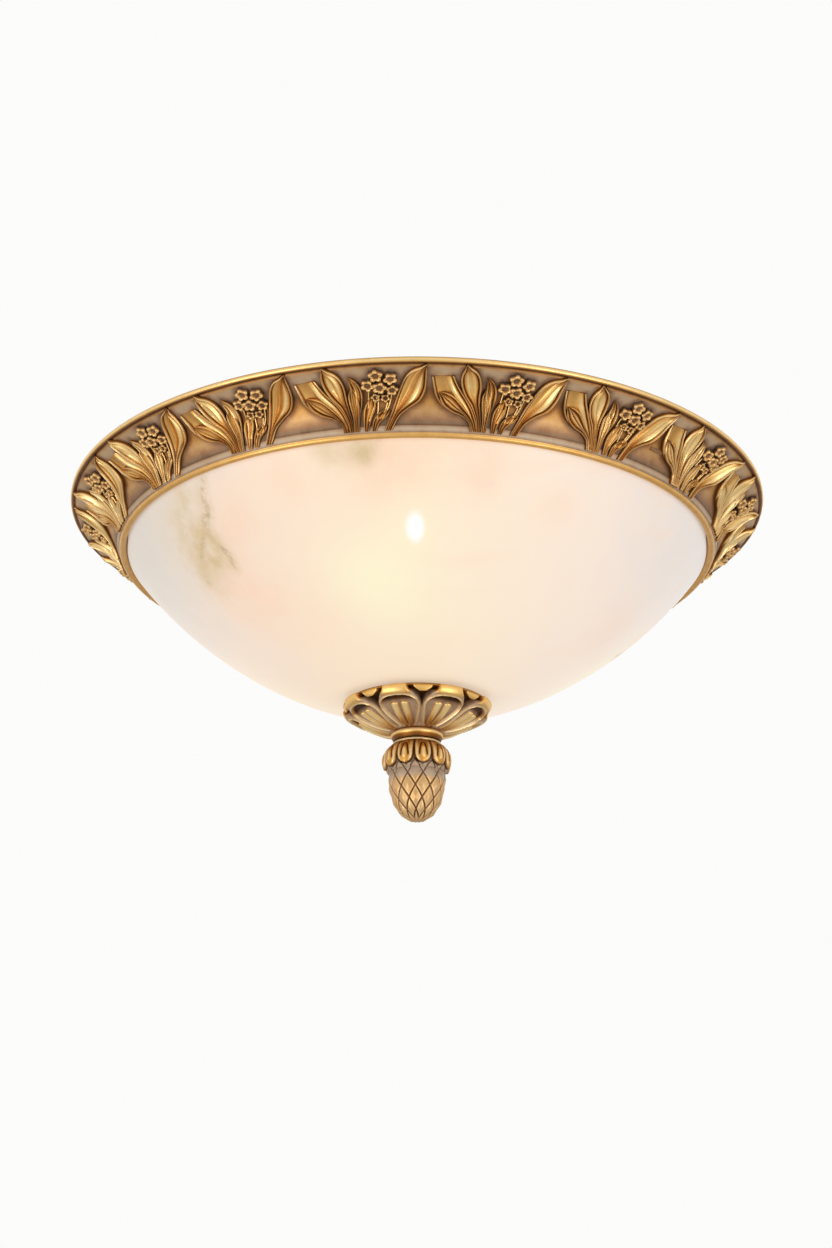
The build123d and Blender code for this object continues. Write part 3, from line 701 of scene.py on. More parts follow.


# Share of the blossom's radius, height from its rise in mm (None: down into the cove's wall) and tone, which is
# # darkest in the deep eye and at the foot as painted shade.
CUP_PROFILE: tuple[tuple[float, float | None, float], ...] = (
    (0.0, -2.2, 0.2), (0.16, -2.3, 0.08), (0.36, -1.6, 0.12), (0.5, -0.3, 0.5), (0.62, 0.3, 0.8),
    (0.78, 0.5, 0.66), (0.9, 0.1, 0.74), (0.98, -0.7, 0.4), (1.0, -1.6, 0.05), (0.94, None, 0.0),
)
BLOSSOMS = (
    Blossom(10.4, 26.8, 4.1, 0.2, 3.8, (-0.35, 0.1)),
    Blossom(16.0, 34.4, 4.2, 0.9, 3.6, (0.0, 0.4)),
    Blossom(24.8, 31.6, 4.1, 0.5, 3.8, (0.35, 0.2)),
    Blossom(17.8, 25.6, 4.3, 0.0, 5.2, (0.05, -0.1)),
    Blossom(25.4, 22.8, 3.7, 1.1, 3.8, (0.3, -0.25)),
    Blossom(14.6, 17.6, 3.0, 0.7, 3.0, (-0.2, -0.3)),
    Blossom(20.8, 17.0, 2.9, 0.3, 3.2, (0.2, -0.35)),
)
STEMS = (
    ((8.0, 2.0), (9.4, 12.0), (10.6, 23.0)),
    ((9.2, 2.0), (13.4, 12.0), (17.4, 22.0)),
    ((14.4, 2.0), (15.4, 8.0), (16.0, 14.5)),
    ((16.5, 3.0), (20.4, 9.0), (22.0, 13.5)),
    ((17.5, 2.0), (23.4, 13.0), (25.0, 20.0)),
)

# Tones round the rim's roll, lightest on its rubbed outer face and darker at its top and underside as painted
# # shade; tone and wash by share of the cove from its lip side to its rim side, with a grey patina wash high up,
# # painted shade towards the lip side and a painted dark band across the middle; and the ledge as steps in mm
# # from the cove's inner edge with tone and wash, darkest in its corner under the cove as painted shadow.
ROLL_TONES = (0.05, 0.05, 0.05, 0.2, 0.5, 0.7, 0.84, 0.88, 0.8, 0.62, 0.4, 0.2, 0.1)
COVE_TONE = ((0, 0.1), (0.07, 0.3), (0.2, 0.48), (0.34, 0.46), (0.55, 0.3), (0.75, 0.42), (1, 0.52))
COVE_WASH = ((0, 0.3), (0.2, 0.3), (0.34, 0.08), (0.55, 0.12), (0.75, 0.6), (0.95, 0.8), (1, 0.5))
LEDGE: tuple[Row, ...] = ((-0.5, -0.9, 0.1, 0.1), (-0.7, -1.6, 0.3, 0.6), (-1.4, -3.3, 0.5, 1.0))


@dataclass
class TrimRing:
    """The cast ring: a rolled rim, a concave cove with leaf sprays, a ledge and a beaded lip."""

    rim_radius: float = 250.0
    lip_radius: float = 209.3
    depth: float = 37.8
    wall: float = 3.0
    roll: float = 2.0
    bead: float = 2.3
    cove_inner: Point = (216.5, -30.0)
    cove_outer: Point = (245.2, -5.4)
    cove_sag: float = 4.5
    sprays: int = 17
    steps_per_spray: int = 54
    spray_azimuth: float = -79.0
    reference_radius: float = 230.0
    sunk: float = 1.0
    cove_steps: int = 26
    # The painted shadow round the leaves and blossoms: its spread in mm, and how far it darkens the tone and thins the
    # wash.
    painted_shadow_width: float = 2.6
    painted_shadow_tone: float = 0.72
    painted_shadow_wash: float = 0.4
    lead_in: float = 0.45
    cup_steps: int = 40
    cup_petals: int = 5
    cup_wave: float = 0.15
    cup_notch: float = 0.8
    cup_lean: float = 0.45
    cup_wash: float = 0.22
    stem_sides: int = 6
    stem_height: float = 0.9
    stem_arch: float = 1.3
    stem_tone: float = 0.8
    lug_count: int = 4
    lug_width: float = 8.8
    lug_setback: float = 2.4
    lug_reach: float = 5.5
    lug_heights: Point = (-22.0, -9.2)

    def __post_init__(self) -> None:
        """Works out the cove's arc."""
        run = self.cove_outer[0] - self.cove_inner[0]
        fall = self.cove_outer[1] - self.cove_inner[1]
        chord = math.hypot(run, fall)
        self.cove_radius = chord**2 / (8 * self.cove_sag) + self.cove_sag / 2
        reach = self.cove_radius - self.cove_sag
        self.centre = (
            (self.cove_outer[0] + self.cove_inner[0]) / 2 + fall / chord * reach,
            (self.cove_outer[1] + self.cove_inner[1]) / 2 - run / chord * reach,
        )
        self.inner_angle = math.atan2(self.cove_inner[1] - self.centre[1], self.cove_inner[0] - self.centre[0])
        self.outer_angle = math.atan2(self.cove_outer[1] - self.centre[1], self.cove_outer[0] - self.centre[0])
        self.cove_length = self.cove_radius * (self.inner_angle - self.outer_angle)

    def on_cove(self, along: np.ndarray, across: np.ndarray, height: np.ndarray) -> np.ndarray:
        """Points over the cove.

        Args:
            along: Distance round the ring, at the reference radius.
            across: Distance up the cove from its inner edge, or down the ledge if negative.
            height: Height above the metal.

        Returns:
            Array (..., 3).
        """
        angle = self.inner_angle - np.maximum(across, 0) / self.cove_radius
        reach = self.cove_radius - height
        below = np.minimum(across, 0)
        radius = self.centre[0] + reach * np.cos(angle) + below * math.sin(self.inner_angle)
        z = self.centre[1] + reach * np.sin(angle) - below * math.cos(self.inner_angle)
        turn = along / self.reference_radius
        return np.stack([radius * np.cos(turn), radius * np.sin(turn), z], axis=-1)

    def leaf(self, blade: Blade) -> Skin:
        """One leaf as a closed relief.

        Args:
            blade: Its edges and section.

        Returns:
            The skin.
        """
        rows = blade.rows
        left = flowing(blade.left, rows)
        right = flowing(blade.right, rows)
        t = np.linspace(0, 1, rows)
        width = np.linalg.norm(right - left, axis=1)
        squeeze = np.clip(width / 7.0, 0.12, 1.0)
        steps = np.array(EDGE_STEPS)
        edge = steps[None] * squeeze[:, None]
        share = np.linspace(0, 1, blade.columns + 2)[1:-1]
        wide = np.maximum(width, 0.6)[:, None]
        inner = edge[:, -1:] + (wide - 2 * edge[:, -1:]) * share
        off = np.concatenate([edge, inner, (wide - edge)[:, ::-1]], axis=1)
        s = (off / wide)[..., None]
        spread = left[:, None] * (1 - s) + right[:, None] * s
        depth = np.minimum(off, wide - off) / squeeze[:, None]
        body = eased((off - steps[-1] * squeeze[:, None]) / (wide - 2 * edge[:, -1:]), blade.section)
        rim = falloff(depth - blade.rim_at, blade.rim_width)
        groove = falloff(depth - blade.groove_at, blade.groove_width)
        swell = np.clip((depth - 1.5) / 1.1, 0, 1)
        height = body * swell * (1 - groove) + blade.rim * rim + 0.7 * (1 - swell) * (1 - rim)
        height = height * (eased(t, blade.lift) * np.clip(width / 3.0, 0.3, 1.0))[:, None]
        # Tone rises with height to the rubbed crests and falls in the grooves; at the leaf's very edge it goes to
        # nothing, a painted shadow line where the leaf meets the cove.
        tone = np.clip(0.42 + 0.17 * height, 0, 0.88) * (1 - 0.9 * groove) * np.clip(depth / 0.3, 0, 1)
        tone = np.maximum(tone, rim)
        wash = (0.1 + 0.3 * rim) * (depth > 0.25) * (1 - groove)
        height = height + blade.base * np.clip(width / 3.0, 0.25, 1.0)[:, None]
        top = self.on_cove(spread[..., 0], spread[..., 1], height).reshape(-1, 3)
        low = self.on_cove(spread[..., 0], spread[..., 1], np.full_like(height, -self.sunk))
        edge_low = low[:, (0, -1)].reshape(-1, 3)
        bare = np.zeros(len(edge_low))
        marks = {key: np.concatenate([values.reshape(-1), bare]) for key, values in (("tone", tone), ("wash", wash))}
        return Skin(np.concatenate([top, edge_low]), slab_faces(rows, off.shape[1]), marks)

    def cup(self, blossom: Blossom) -> Skin:
        """One blossom as a closed cup.

        Args:
            blossom: Its place and size.

        Returns:
            The skin.
        """
        angles = np.arange(self.cup_steps) * 2 * math.pi / self.cup_steps
        wave = np.cos(self.cup_petals * (angles + blossom.turn))
        rings, tones = [], []
        for share, drop, tone in CUP_PROFILE:
            radius = blossom.radius * share * (1 + self.cup_wave * wave * min(1.0, share * 1.3))
            notch = self.cup_notch * share * np.clip(-wave, 0, 1) ** 2
            tilt = share * (blossom.lean[0] * np.cos(angles) + blossom.lean[1] * np.sin(angles))
            height = blossom.rise + (drop or 0.0) - notch - tilt * blossom.radius * self.cup_lean
            if drop is None:
                height = np.full(self.cup_steps, -self.sunk)
            along = blossom.along + radius * np.cos(angles)
            across = blossom.across + radius * np.sin(angles)
            rings.append(self.on_cove(along, across, height))
            tones.append(np.clip(tone - 0.4 * notch * (share > 0.55), 0, 1))
        grid, faces = joined(rings)
        return Skin(grid, faces, {"tone": np.concatenate(tones), "wash": np.full(len(grid), self.cup_wash)})

    def stem(self, route: tuple[Point, ...], thick: float = 0.55) -> Skin:
        """One stem as a closed rod.

        Args:
            route: The points that it passes on the unrolled cove.
            thick: Its half thickness.

        Returns:
            The skin.
        """
        line = flowing(route, 9)
        along = np.gradient(line, axis=0)
        side = np.stack([-along[:, 1], along[:, 0]], -1) / np.linalg.norm(along, axis=1)[:, None]
        angles = np.arange(self.stem_sides) * 2 * math.pi / self.stem_sides
        height = self.stem_height + thick * self.stem_arch * np.sin(angles)
        rings = []
        for place, aside in zip(line, side):
            offset = place + aside * (thick * np.cos(angles))[:, None]
            rings.append(self.on_cove(offset[:, 0], offset[:, 1], height))
        grid, faces = joined(rings)
        return Skin(grid, faces, {"tone": np.full(len(grid), self.stem_tone), "wash": np.zeros(len(grid))})

    def outlines(self) -> np.ndarray:
        """Points along every leaf's edges and round every blossom, on the unrolled cove."""
        marks = [flowing(edge, 40) for blade in SPRAY.values() for edge in (blade.left, blade.right)]
        for blossom in BLOSSOMS:
            ring = arc((blossom.along, blossom.across), blossom.radius, 0, 345, 24)
            marks.append(np.array(ring))
        return np.concatenate(marks)

    def section(self) -> tuple[np.ndarray, np.ndarray, np.ndarray]:
        """The ring's closed section with each point's tone and wash."""
        rim, roll, lip, bead = self.rim_radius, self.roll, self.lip_radius, self.bead
        bead_centre = (lip + bead, -self.depth + bead)
        rows: list[Row] = []

        def lay(points: list[Point], tone: float, wash: float) -> None:
            rows.extend((x, z, tone, wash) for x, z in points)

        lay([(rim - roll - 6, 0.0)], 0.3, 0.3)
        for point, tone in zip(arc((rim - roll, -roll), roll, 90, -90, len(ROLL_TONES)), ROLL_TONES):
            lay([point], tone, 0.1)
        # Painted shade in the crease under the roll.
        lay([(rim - roll - 1.3, -2 * roll + 0.1)], 0.12, 0.0)
        lay([(rim - roll - 1.9, -2 * roll - 0.9)], 0.4, 0.2)
        angles = math.degrees(self.outer_angle), math.degrees(self.inner_angle)
        cove = arc(self.centre, self.cove_radius, *angles, self.cove_steps)
        for share, (x, z) in zip(np.linspace(1, 0, len(cove)), cove):
            tone, wash = (float(np.interp(share, *zip(*knots))) for knots in (COVE_TONE, COVE_WASH))
            rows.append((x, z, tone, wash))
        self.cove_rows = (len(rows) - len(cove), len(rows))
        # The ledge's first step is darkest, a painted shadow in its corner under the cove.
        for x, z, tone, wash in LEDGE:
            lay([(self.cove_inner[0] + x, self.cove_inner[1] + z)], tone, wash)
        # Painted shadow just above the bead.
        lay([(lip + 2 * bead + 0.3, -self.depth + bead + 0.5)], 0.1, 0.5)
        lay(arc(bead_centre, bead, 5, -180, 13), 0.62, 0.12)
        lay([(lip, -self.depth + bead + 2), (lip, -25.0)], 0.4, 0.2)
        lay(arc(self.centre, self.cove_radius + self.wall, *angles[::-1], 10), 0.35, 0.35)
        table = np.array(rows)
        return table[:, :2], table[:, 2], table[:, 3]

    def body(self) -> Skin:
        """The plain ring, with a painted shadow round the leaves and blossoms that darkens the tone and thins the grey
        wash.
        """
        section, tone, wash = self.section()
        turns = self.sprays * self.steps_per_spray
        first, last = self.cove_rows
        across = np.linspace(self.cove_length, 0, last - first)
        pitch = 2 * math.pi * self.reference_radius / self.sprays
        along = (np.arange(self.steps_per_spray) / self.steps_per_spray - self.lead_in) * pitch
        marks = self.outlines()
        marks = np.concatenate([marks, marks - [pitch, 0], marks + [pitch, 0]])
        grid = np.stack(np.meshgrid(along, across, indexing="ij"), -1).reshape(-1, 2)
        near = np.sqrt(((grid[:, None] - marks[None]) ** 2).sum(-1)).min(1)
        # Painted shadow round every leaf and blossom.
        shade = falloff(near, self.painted_shadow_width).reshape(len(along), len(across))
        full_tone = np.tile(tone, (self.steps_per_spray, 1))
        full_wash = np.tile(wash, (self.steps_per_spray, 1))
        full_tone[:, first:last] *= 1 - self.painted_shadow_tone * shade
        full_wash[:, first:last] *= 1 - self.painted_shadow_wash * shade
        start = math.radians(self.spray_azimuth) + along[0] / self.reference_radius
        tone, wash = (np.tile(values, (self.sprays, 1)) for values in (full_tone, full_wash))
        return lathe(section, turns, start, tone=tone, wash=wash)

    def lug(self) -> Skin:
        """One lug behind the cove that takes a screw."""
        inner = self.lip_radius + self.bead + self.lug_setback
        sides = (-self.lug_reach, self.lug_reach)
        return block((inner, inner + self.lug_width), sides, self.lug_heights, 0.3, 0.4)

    def make(self, finish: Material, copies: PolarCopies) -> list[Piece]:
        """Builds the ring and its sprays.

        Args:
            finish: The cast brass.
            copies: The tree that repeats a piece about the axis.

        Returns:
            The four pieces.
        """
        ring = show(self.body(), "cast_ring", 50, finish, "trim_ring", "root")
        leaves = Skin.merged([self.leaf(blade) for blade in SPRAY.values()]).build("leaf_sprays", 70)
        cups = [self.cup(blossom) for blossom in BLOSSOMS] + [self.stem(route) for route in STEMS]
        blossoms = Skin.merged(cups).build("blossom_sprays", 70)
        for spray in (leaves, blossoms):
            copies.spread(spray, self.sprays, finish, self.spray_azimuth)
        lugs = self.lug().build("ring_lugs", 30)
        copies.spread(lugs, self.lug_count, finish, 180.0 / self.lug_count)
        return [ring, *(hand_over(piece, "trim_ring", "root") for piece in (leaves, blossoms, lugs))]


def block(x: Point, y: Point, z: Point, tone: float, wash: float) -> Skin:
    """A plain box between two corners.

    Args:
        x: Low and high x.
        y: Low and high y.
        z: Low and high z.
        tone: Its tone.
        wash: Its wash.

    Returns:
        The skin.
    """
    points = np.array([(a, b, c) for a in x for b in y for c in z], float)
    faces = [(0, 1, 3, 2), (4, 6, 7, 5), (0, 4, 5, 1), (2, 3, 7, 6), (0, 2, 6, 4), (1, 5, 7, 3)]
    return Skin(points, faces, {"tone": np.full(8, tone), "wash": np.full(8, wash)})


# ---------------------------------------------------------------- the bowl
# Veins as points of azimuth in degrees and radius in mm. Stains and peach patches add a spread in mm and a strength.
VEINS: tuple[tuple[Point, ...], ...] = (
    ((-42.6, 207.5), (-44.6, 202.0), (-45.4, 197.0), (-45.8, 193.4), (-47.8, 190.2), (-48.6, 184.6),
     (-48.4, 178.0), (-47.4, 170.4), (-48.2, 163.4)),
    ((-47.8, 190.2), (-50.5, 185.0), (-54.0, 179.0), (-58.0, 171.0), (-60.0, 163.0)),
    ((-7.4, 208.0), (-8.4, 204.6), (-9.2, 200.4)),
    ((118.0, 207.5), (115.0, 197.0), (117.0, 186.0), (111.0, 172.0), (109.0, 158.0), (103.0, 150.0)),
    ((-158.0, 208.0), (-153.0, 196.0), (-149.0, 190.0), (-150.0, 176.0), (-143.0, 166.0)),
)
STAINS: tuple[Row, ...] = (
    (-50.5, 181.0, 13.0, 0.75), (-56.0, 187.0, 20.0, 0.55), (-51.5, 172.0, 12.0, 0.7), (-60.0, 172.0, 16.0, 0.4),
    (-58.0, 158.0, 14.0, 0.22), (-50.0, 200.0, 15.0, 0.65), (-10.0, 204.0, 8.5, 0.95), (-16.0, 205.0, 12.0, 0.5),
    (114.0, 184.0, 14.0, 0.7), (122.0, 196.0, 16.0, 0.5), (-152.0, 190.0, 14.0, 0.7), (-146.0, 172.0, 10.0, 0.5),
)
PEACHES: tuple[Row, ...] = (
    (-51.0, 148.0, 30.0, 0.65), (-43.0, 181.0, 22.0, 0.5), (-6.0, 198.0, 28.0, 0.6), (-34.0, 120.0, 34.0, 0.25),
    (-26.0, 200.0, 24.0, 0.5), (-2.0, 206.0, 20.0, 0.4), (12.0, 203.0, 20.0, 0.5), (-38.0, 192.0, 18.0, 0.4),
    (29.0, 186.0, 17.0, 0.3), (13.0, 190.0, 12.0, 0.35), (75.0, 140.0, 26.0, 0.3), (104.0, 168.0, 22.0, 0.7),
    (-138.0, 160.0, 26.0, 0.6), (180.0, 180.0, 30.0, 0.4), (150.0, 130.0, 30.0, 0.35),
)


@dataclass(frozen=True)
class Alabaster:
    """Polished alabaster lit from inside, greyer towards its left and right edges as painted shade. It reads the veins,
    stains, clouds and glow from the mesh.
    """

    name: str = "alabaster"
    # Colours along the side value: warm in the middle and greyer at both ends, a painted shade towards the bowl's left
    # and right edges.
    clouds: Stops = (
        (0.0, linear(220, 210, 199)),
        (0.1, linear(232, 219, 205)),
        (0.2, linear(246, 226, 208)),
        (0.34, linear(250, 228, 202)),
        (0.5, linear(251, 231, 203)),
        (0.64, linear(251, 232, 211)),
        (0.78, linear(249, 231, 216)),
        (0.9, linear(240, 227, 217)),
        (1.0, linear(228, 221, 216)),
    )
    peach: Colour = linear(251, 214, 184)
    glow: Colour = linear(251, 241, 207)
    stain: Colour = linear(216, 190, 147)
    vein: Colour = linear(168, 142, 100)
    hot: Colour = (1.0, 1.0, 0.985)
    lit: float = 0.535
    body: float = 0.46

    def build(self) -> Material:
        """The material."""
        g = Graph(self.name)
        cloud = g.noise(8.0, 6.0, 0.6)
        grain = g.noise(48.0, 7.0, 0.62)
        fine = g.noise(260.0, 4.0, 0.6)
        turn = {"Vector": g.place(), "Rotation": (0.5, 0.35, 0.6), "Scale": (6.0, 26.0, 34.0)}
        streak = g.noise(1.0, 4.0, 0.5, g.add("ShaderNodeMapping", turn).outputs[0])
        colour = g.ramp(g.maths("ADD", g.value("side"), g.maths("MULTIPLY_ADD", cloud, 0.3, -0.15)), self.clouds)
        patch = g.maths("MULTIPLY", g.value("peach"), g.span(grain, 0.25, 0.7, (0.55, 1.15)))
        colour = g.blend(patch, colour, self.peach)
        bands = g.maths("MULTIPLY", g.span(streak, 0.52, 0.72), g.maths("MULTIPLY_ADD", g.value("side"), 0.28, 0.02))
        colour = g.blend(bands, colour, self.peach)
        colour = g.blend(g.value("glow"), colour, self.glow)
        spread = g.maths("MULTIPLY", g.value("stain"), g.span(grain, 0.3, 0.66, (0.25, 1.2)))
        colour = g.blend(g.maths("MINIMUM", spread, 0.95), colour, self.stain)
        path = g.maths("ADD", g.value("vein"), g.maths("MULTIPLY_ADD", grain, 13.0, -6.5))
        path = g.maths("ADD", path, g.maths("MULTIPLY_ADD", fine, 3.6, -1.8))
        soft = g.maths("MULTIPLY", g.span(path, 0.5, 9.0, (0.6, 0.0)), g.span(fine, 0.3, 0.7, (0.3, 1.0)))
        colour = g.blend(soft, colour, self.stain)
        line = g.maths("MULTIPLY", g.span(path, 0.0, 2.4, (0.5, 0.0)), g.span(fine, 0.34, 0.6, (0.15, 1.0)))
        colour = g.blend(line, colour, self.vein)
        colour = g.blend(g.span(g.value("spot"), 0.45, 1.25, (1.0, 0.0)), colour, self.hot)
        body = g.blend(1.0, colour, (self.body,) * 3, "MULTIPLY")
        return g.finish(
            Base_Color=body,
            Roughness=0.42,
            Specular_IOR_Level=0.3,
            Emission_Color=colour,
            Emission_Strength=self.lit,
            Normal=g.bump(grain, 0.0002, 0.3),
        )


@dataclass
class AlabasterBowl:
    """The bowl: a round crown, a flatter side and an upright collar, with a flat seat round its hole.

    A row of glows holds its turn from a lamp in degrees, its radius and spread in mm, and its strength.
    """

    depth: float = 148.0
    crown_radius: float = 234.0
    crown_angle: float = 28.0
    shoulder: Point = (208.0, -37.37)
    shoulder_round: float = 5.0
    wall: float = 8.0
    hole: float = 8.0
    seat: float = 20.0
    top: float = -11.5
    bevel: float = 1.5
    turns: int = 360
    lamp_azimuths: Triple = (-0.4, 119.6, 239.6)
    rear_glow: float = 0.6
    glows: tuple[Row, ...] = ((-12.0, 142.0, 32.0, 0.7), (-4.0, 124.0, 40.0, 0.45))
    halo_strength: float = 0.5
    halo_width: float = 19.0
    spot_radius: float = 168.0
    spot_size: Point = (6.6, 12.0)

    def __post_init__(self) -> None:
        """Works out the two arcs of the section."""
        across, down = math.sin(math.radians(self.crown_angle)), math.cos(math.radians(self.crown_angle))
        self.crown_height = self.crown_radius - self.depth
        run = self.shoulder[0] - self.crown_radius * across
        rise = self.shoulder[1] - self.crown_height + self.crown_radius * down
        self.side_radius = (run**2 + rise**2) / (2 * (rise * down - run * across))
        self.side_shift = (self.crown_radius - self.side_radius) * across
        self.side_height = self.crown_height - (self.crown_radius - self.side_radius) * down
        self.across = across

    def height(self, radius: np.ndarray, inset: float = 0.0) -> np.ndarray:
        """Height of the outer curve, or of the curve a wall further in.

        Args:
            radius: Distances from the axis.
            inset: How far inside the outer curve.

        Returns:
            The heights.
        """
        radius = np.asarray(radius, float)
        crown = self.crown_height - np.sqrt(np.maximum((self.crown_radius - inset) ** 2 - radius**2, 0))
        reach = (self.side_radius - inset) ** 2 - (radius - self.side_shift) ** 2
        side = self.side_height - np.sqrt(np.maximum(reach, 0))
        return np.where(radius <= (self.crown_radius - inset) * self.across, crown, side)

    def section(self) -> np.ndarray:
        """The closed section, clockwise from the top."""
        edge, bevel, low = self.shoulder[0], self.bevel, self.shoulder_round
        inner = edge - self.wall
        turn_r = edge - low
        turn_z = self.side_height - math.sqrt((self.side_radius - low) ** 2 - (turn_r - self.side_shift) ** 2)
        start = math.degrees(math.atan2(turn_z - self.side_height, turn_r - self.side_shift))
        outer = arc((turn_r, turn_z), low, 0, start, 10)
        radii = np.linspace(outer[-1][0], self.seat, 104)[1:]
        outer += list(zip(radii, self.height(radii)))
        seat_z, floor_z = float(self.height(self.seat)), float(self.height(self.seat, self.wall))
        middle = [(14.0, seat_z), (self.hole, seat_z), (self.hole, (seat_z + floor_z) / 2), (self.hole, floor_z)]
        middle.append((14.0, floor_z))
        radii = np.linspace(self.seat, inner, 44)
        rows = [(inner + bevel, self.top), (edge - bevel, self.top), (edge, self.top - bevel), (edge, -26.0)]
        rows += outer + middle + list(zip(radii, self.height(radii, self.wall))) + [(inner, self.top - bevel)]
        return np.array(rows)

    def spot_on(self, azimuth: float, radius: float) -> np.ndarray:
        """A point of the outer surface.

        Args:
            azimuth: Degrees from the front, towards +X.
            radius: Distance from the axis.

        Returns:
            The point.
        """
        turn = math.radians(azimuth - 90)
        return np.array([radius * math.cos(turn), radius * math.sin(turn), float(self.height(radius))])

    def distance(self, points: np.ndarray, azimuth: float, radius: float) -> np.ndarray:
        """How far points lie from the outer surface's point at an azimuth and a radius."""
        return np.linalg.norm(points - self.spot_on(azimuth, radius), axis=1)

    def patches(self, points: np.ndarray, marks: tuple[Row, ...]) -> np.ndarray:
        """Soft patches round marked places.

        Args:
            points: The mesh's points.
            marks: Azimuth, radius, spread and strength of each patch.

        Returns:
            Their sum at each point, from 0 to 1.
        """
        total = np.zeros(len(points))
        for azimuth, radius, spread, strength in marks:
            away = self.distance(points, azimuth, radius)
            total += strength * falloff(away, spread)
        return np.minimum(total, 1)

    def vein_distance(self, points: np.ndarray) -> np.ndarray:
        """Distance of each point from the nearest vein, up to 60 mm."""
        nearest = np.full(len(points), 60.0)
        for vein in VEINS:
            for azimuth, radius in flowing(vein, 14 * len(vein)):
                nearest = np.minimum(nearest, self.distance(points, azimuth, radius))
        return nearest

    def lamp_spots(self, points: np.ndarray) -> tuple[np.ndarray, np.ndarray]:
        """The small bright spot before each lamp, and the wide glow below it.

        Args:
            points: The mesh's points.

        Returns:
            A distance that is 1 at a spot's edge, and the glow from 0 to 1.
        """
        near = np.full(len(points), 9.0)
        glow = np.zeros(len(points))
        for azimuth in self.lamp_azimuths:
            spot = self.spot_on(azimuth, self.spot_radius)
            share = 1.0 if azimuth == self.lamp_azimuths[0] else self.rear_glow
            turn = math.radians(azimuth)
            sideways = (points - spot) @ np.array([math.cos(turn), math.sin(turn), 0.0])
            along = np.sqrt(np.maximum(((points - spot) ** 2).sum(1) - sideways**2, 0))
            near = np.minimum(near, np.hypot(sideways / self.spot_size[0], along / self.spot_size[1]))
            for turned, radius, spread, strength in self.glows:
                away = self.distance(points, azimuth + turned, radius)
                glow += strength * share * falloff(away, spread)
            away = self.distance(points, azimuth, self.spot_radius)
            glow += self.halo_strength * falloff(away, self.halo_width)
        return near, np.minimum(glow, 1)

    def make(self, finish: Material) -> Piece:
        """Builds the bowl with the values that its stone reads.

        Args:
            finish: The alabaster.

        Returns:
            The piece.
        """
        skin = lathe(self.section(), self.turns)
        points = skin.points
        spot, glow = self.lamp_spots(points)
        skin.marks = {
            "vein": self.vein_distance(points),
            "stain": self.patches(points, STAINS),
            "peach": self.patches(points, PEACHES),
            "glow": glow,
            "spot": spot,
            # Left to right across the bowl, for the painted shade at its edges.
            "side": 0.5 + points[:, 0] / (2 * self.shoulder[0]),
        }
        return show(skin, "alabaster_bowl_stone", 40, finish, "alabaster_bowl", "shade")


# ---------------------------------------------------------------- rosette, collar and acorn
def normals_of(section: np.ndarray) -> np.ndarray:
    """Unit normals on the left-hand side of an open section, which is outside when it runs clockwise."""
    slope = np.gradient(section, axis=0)
    side = np.stack([-slope[:, 1], slope[:, 0]], -1)
    return side / np.linalg.norm(side, axis=1)[:, None]


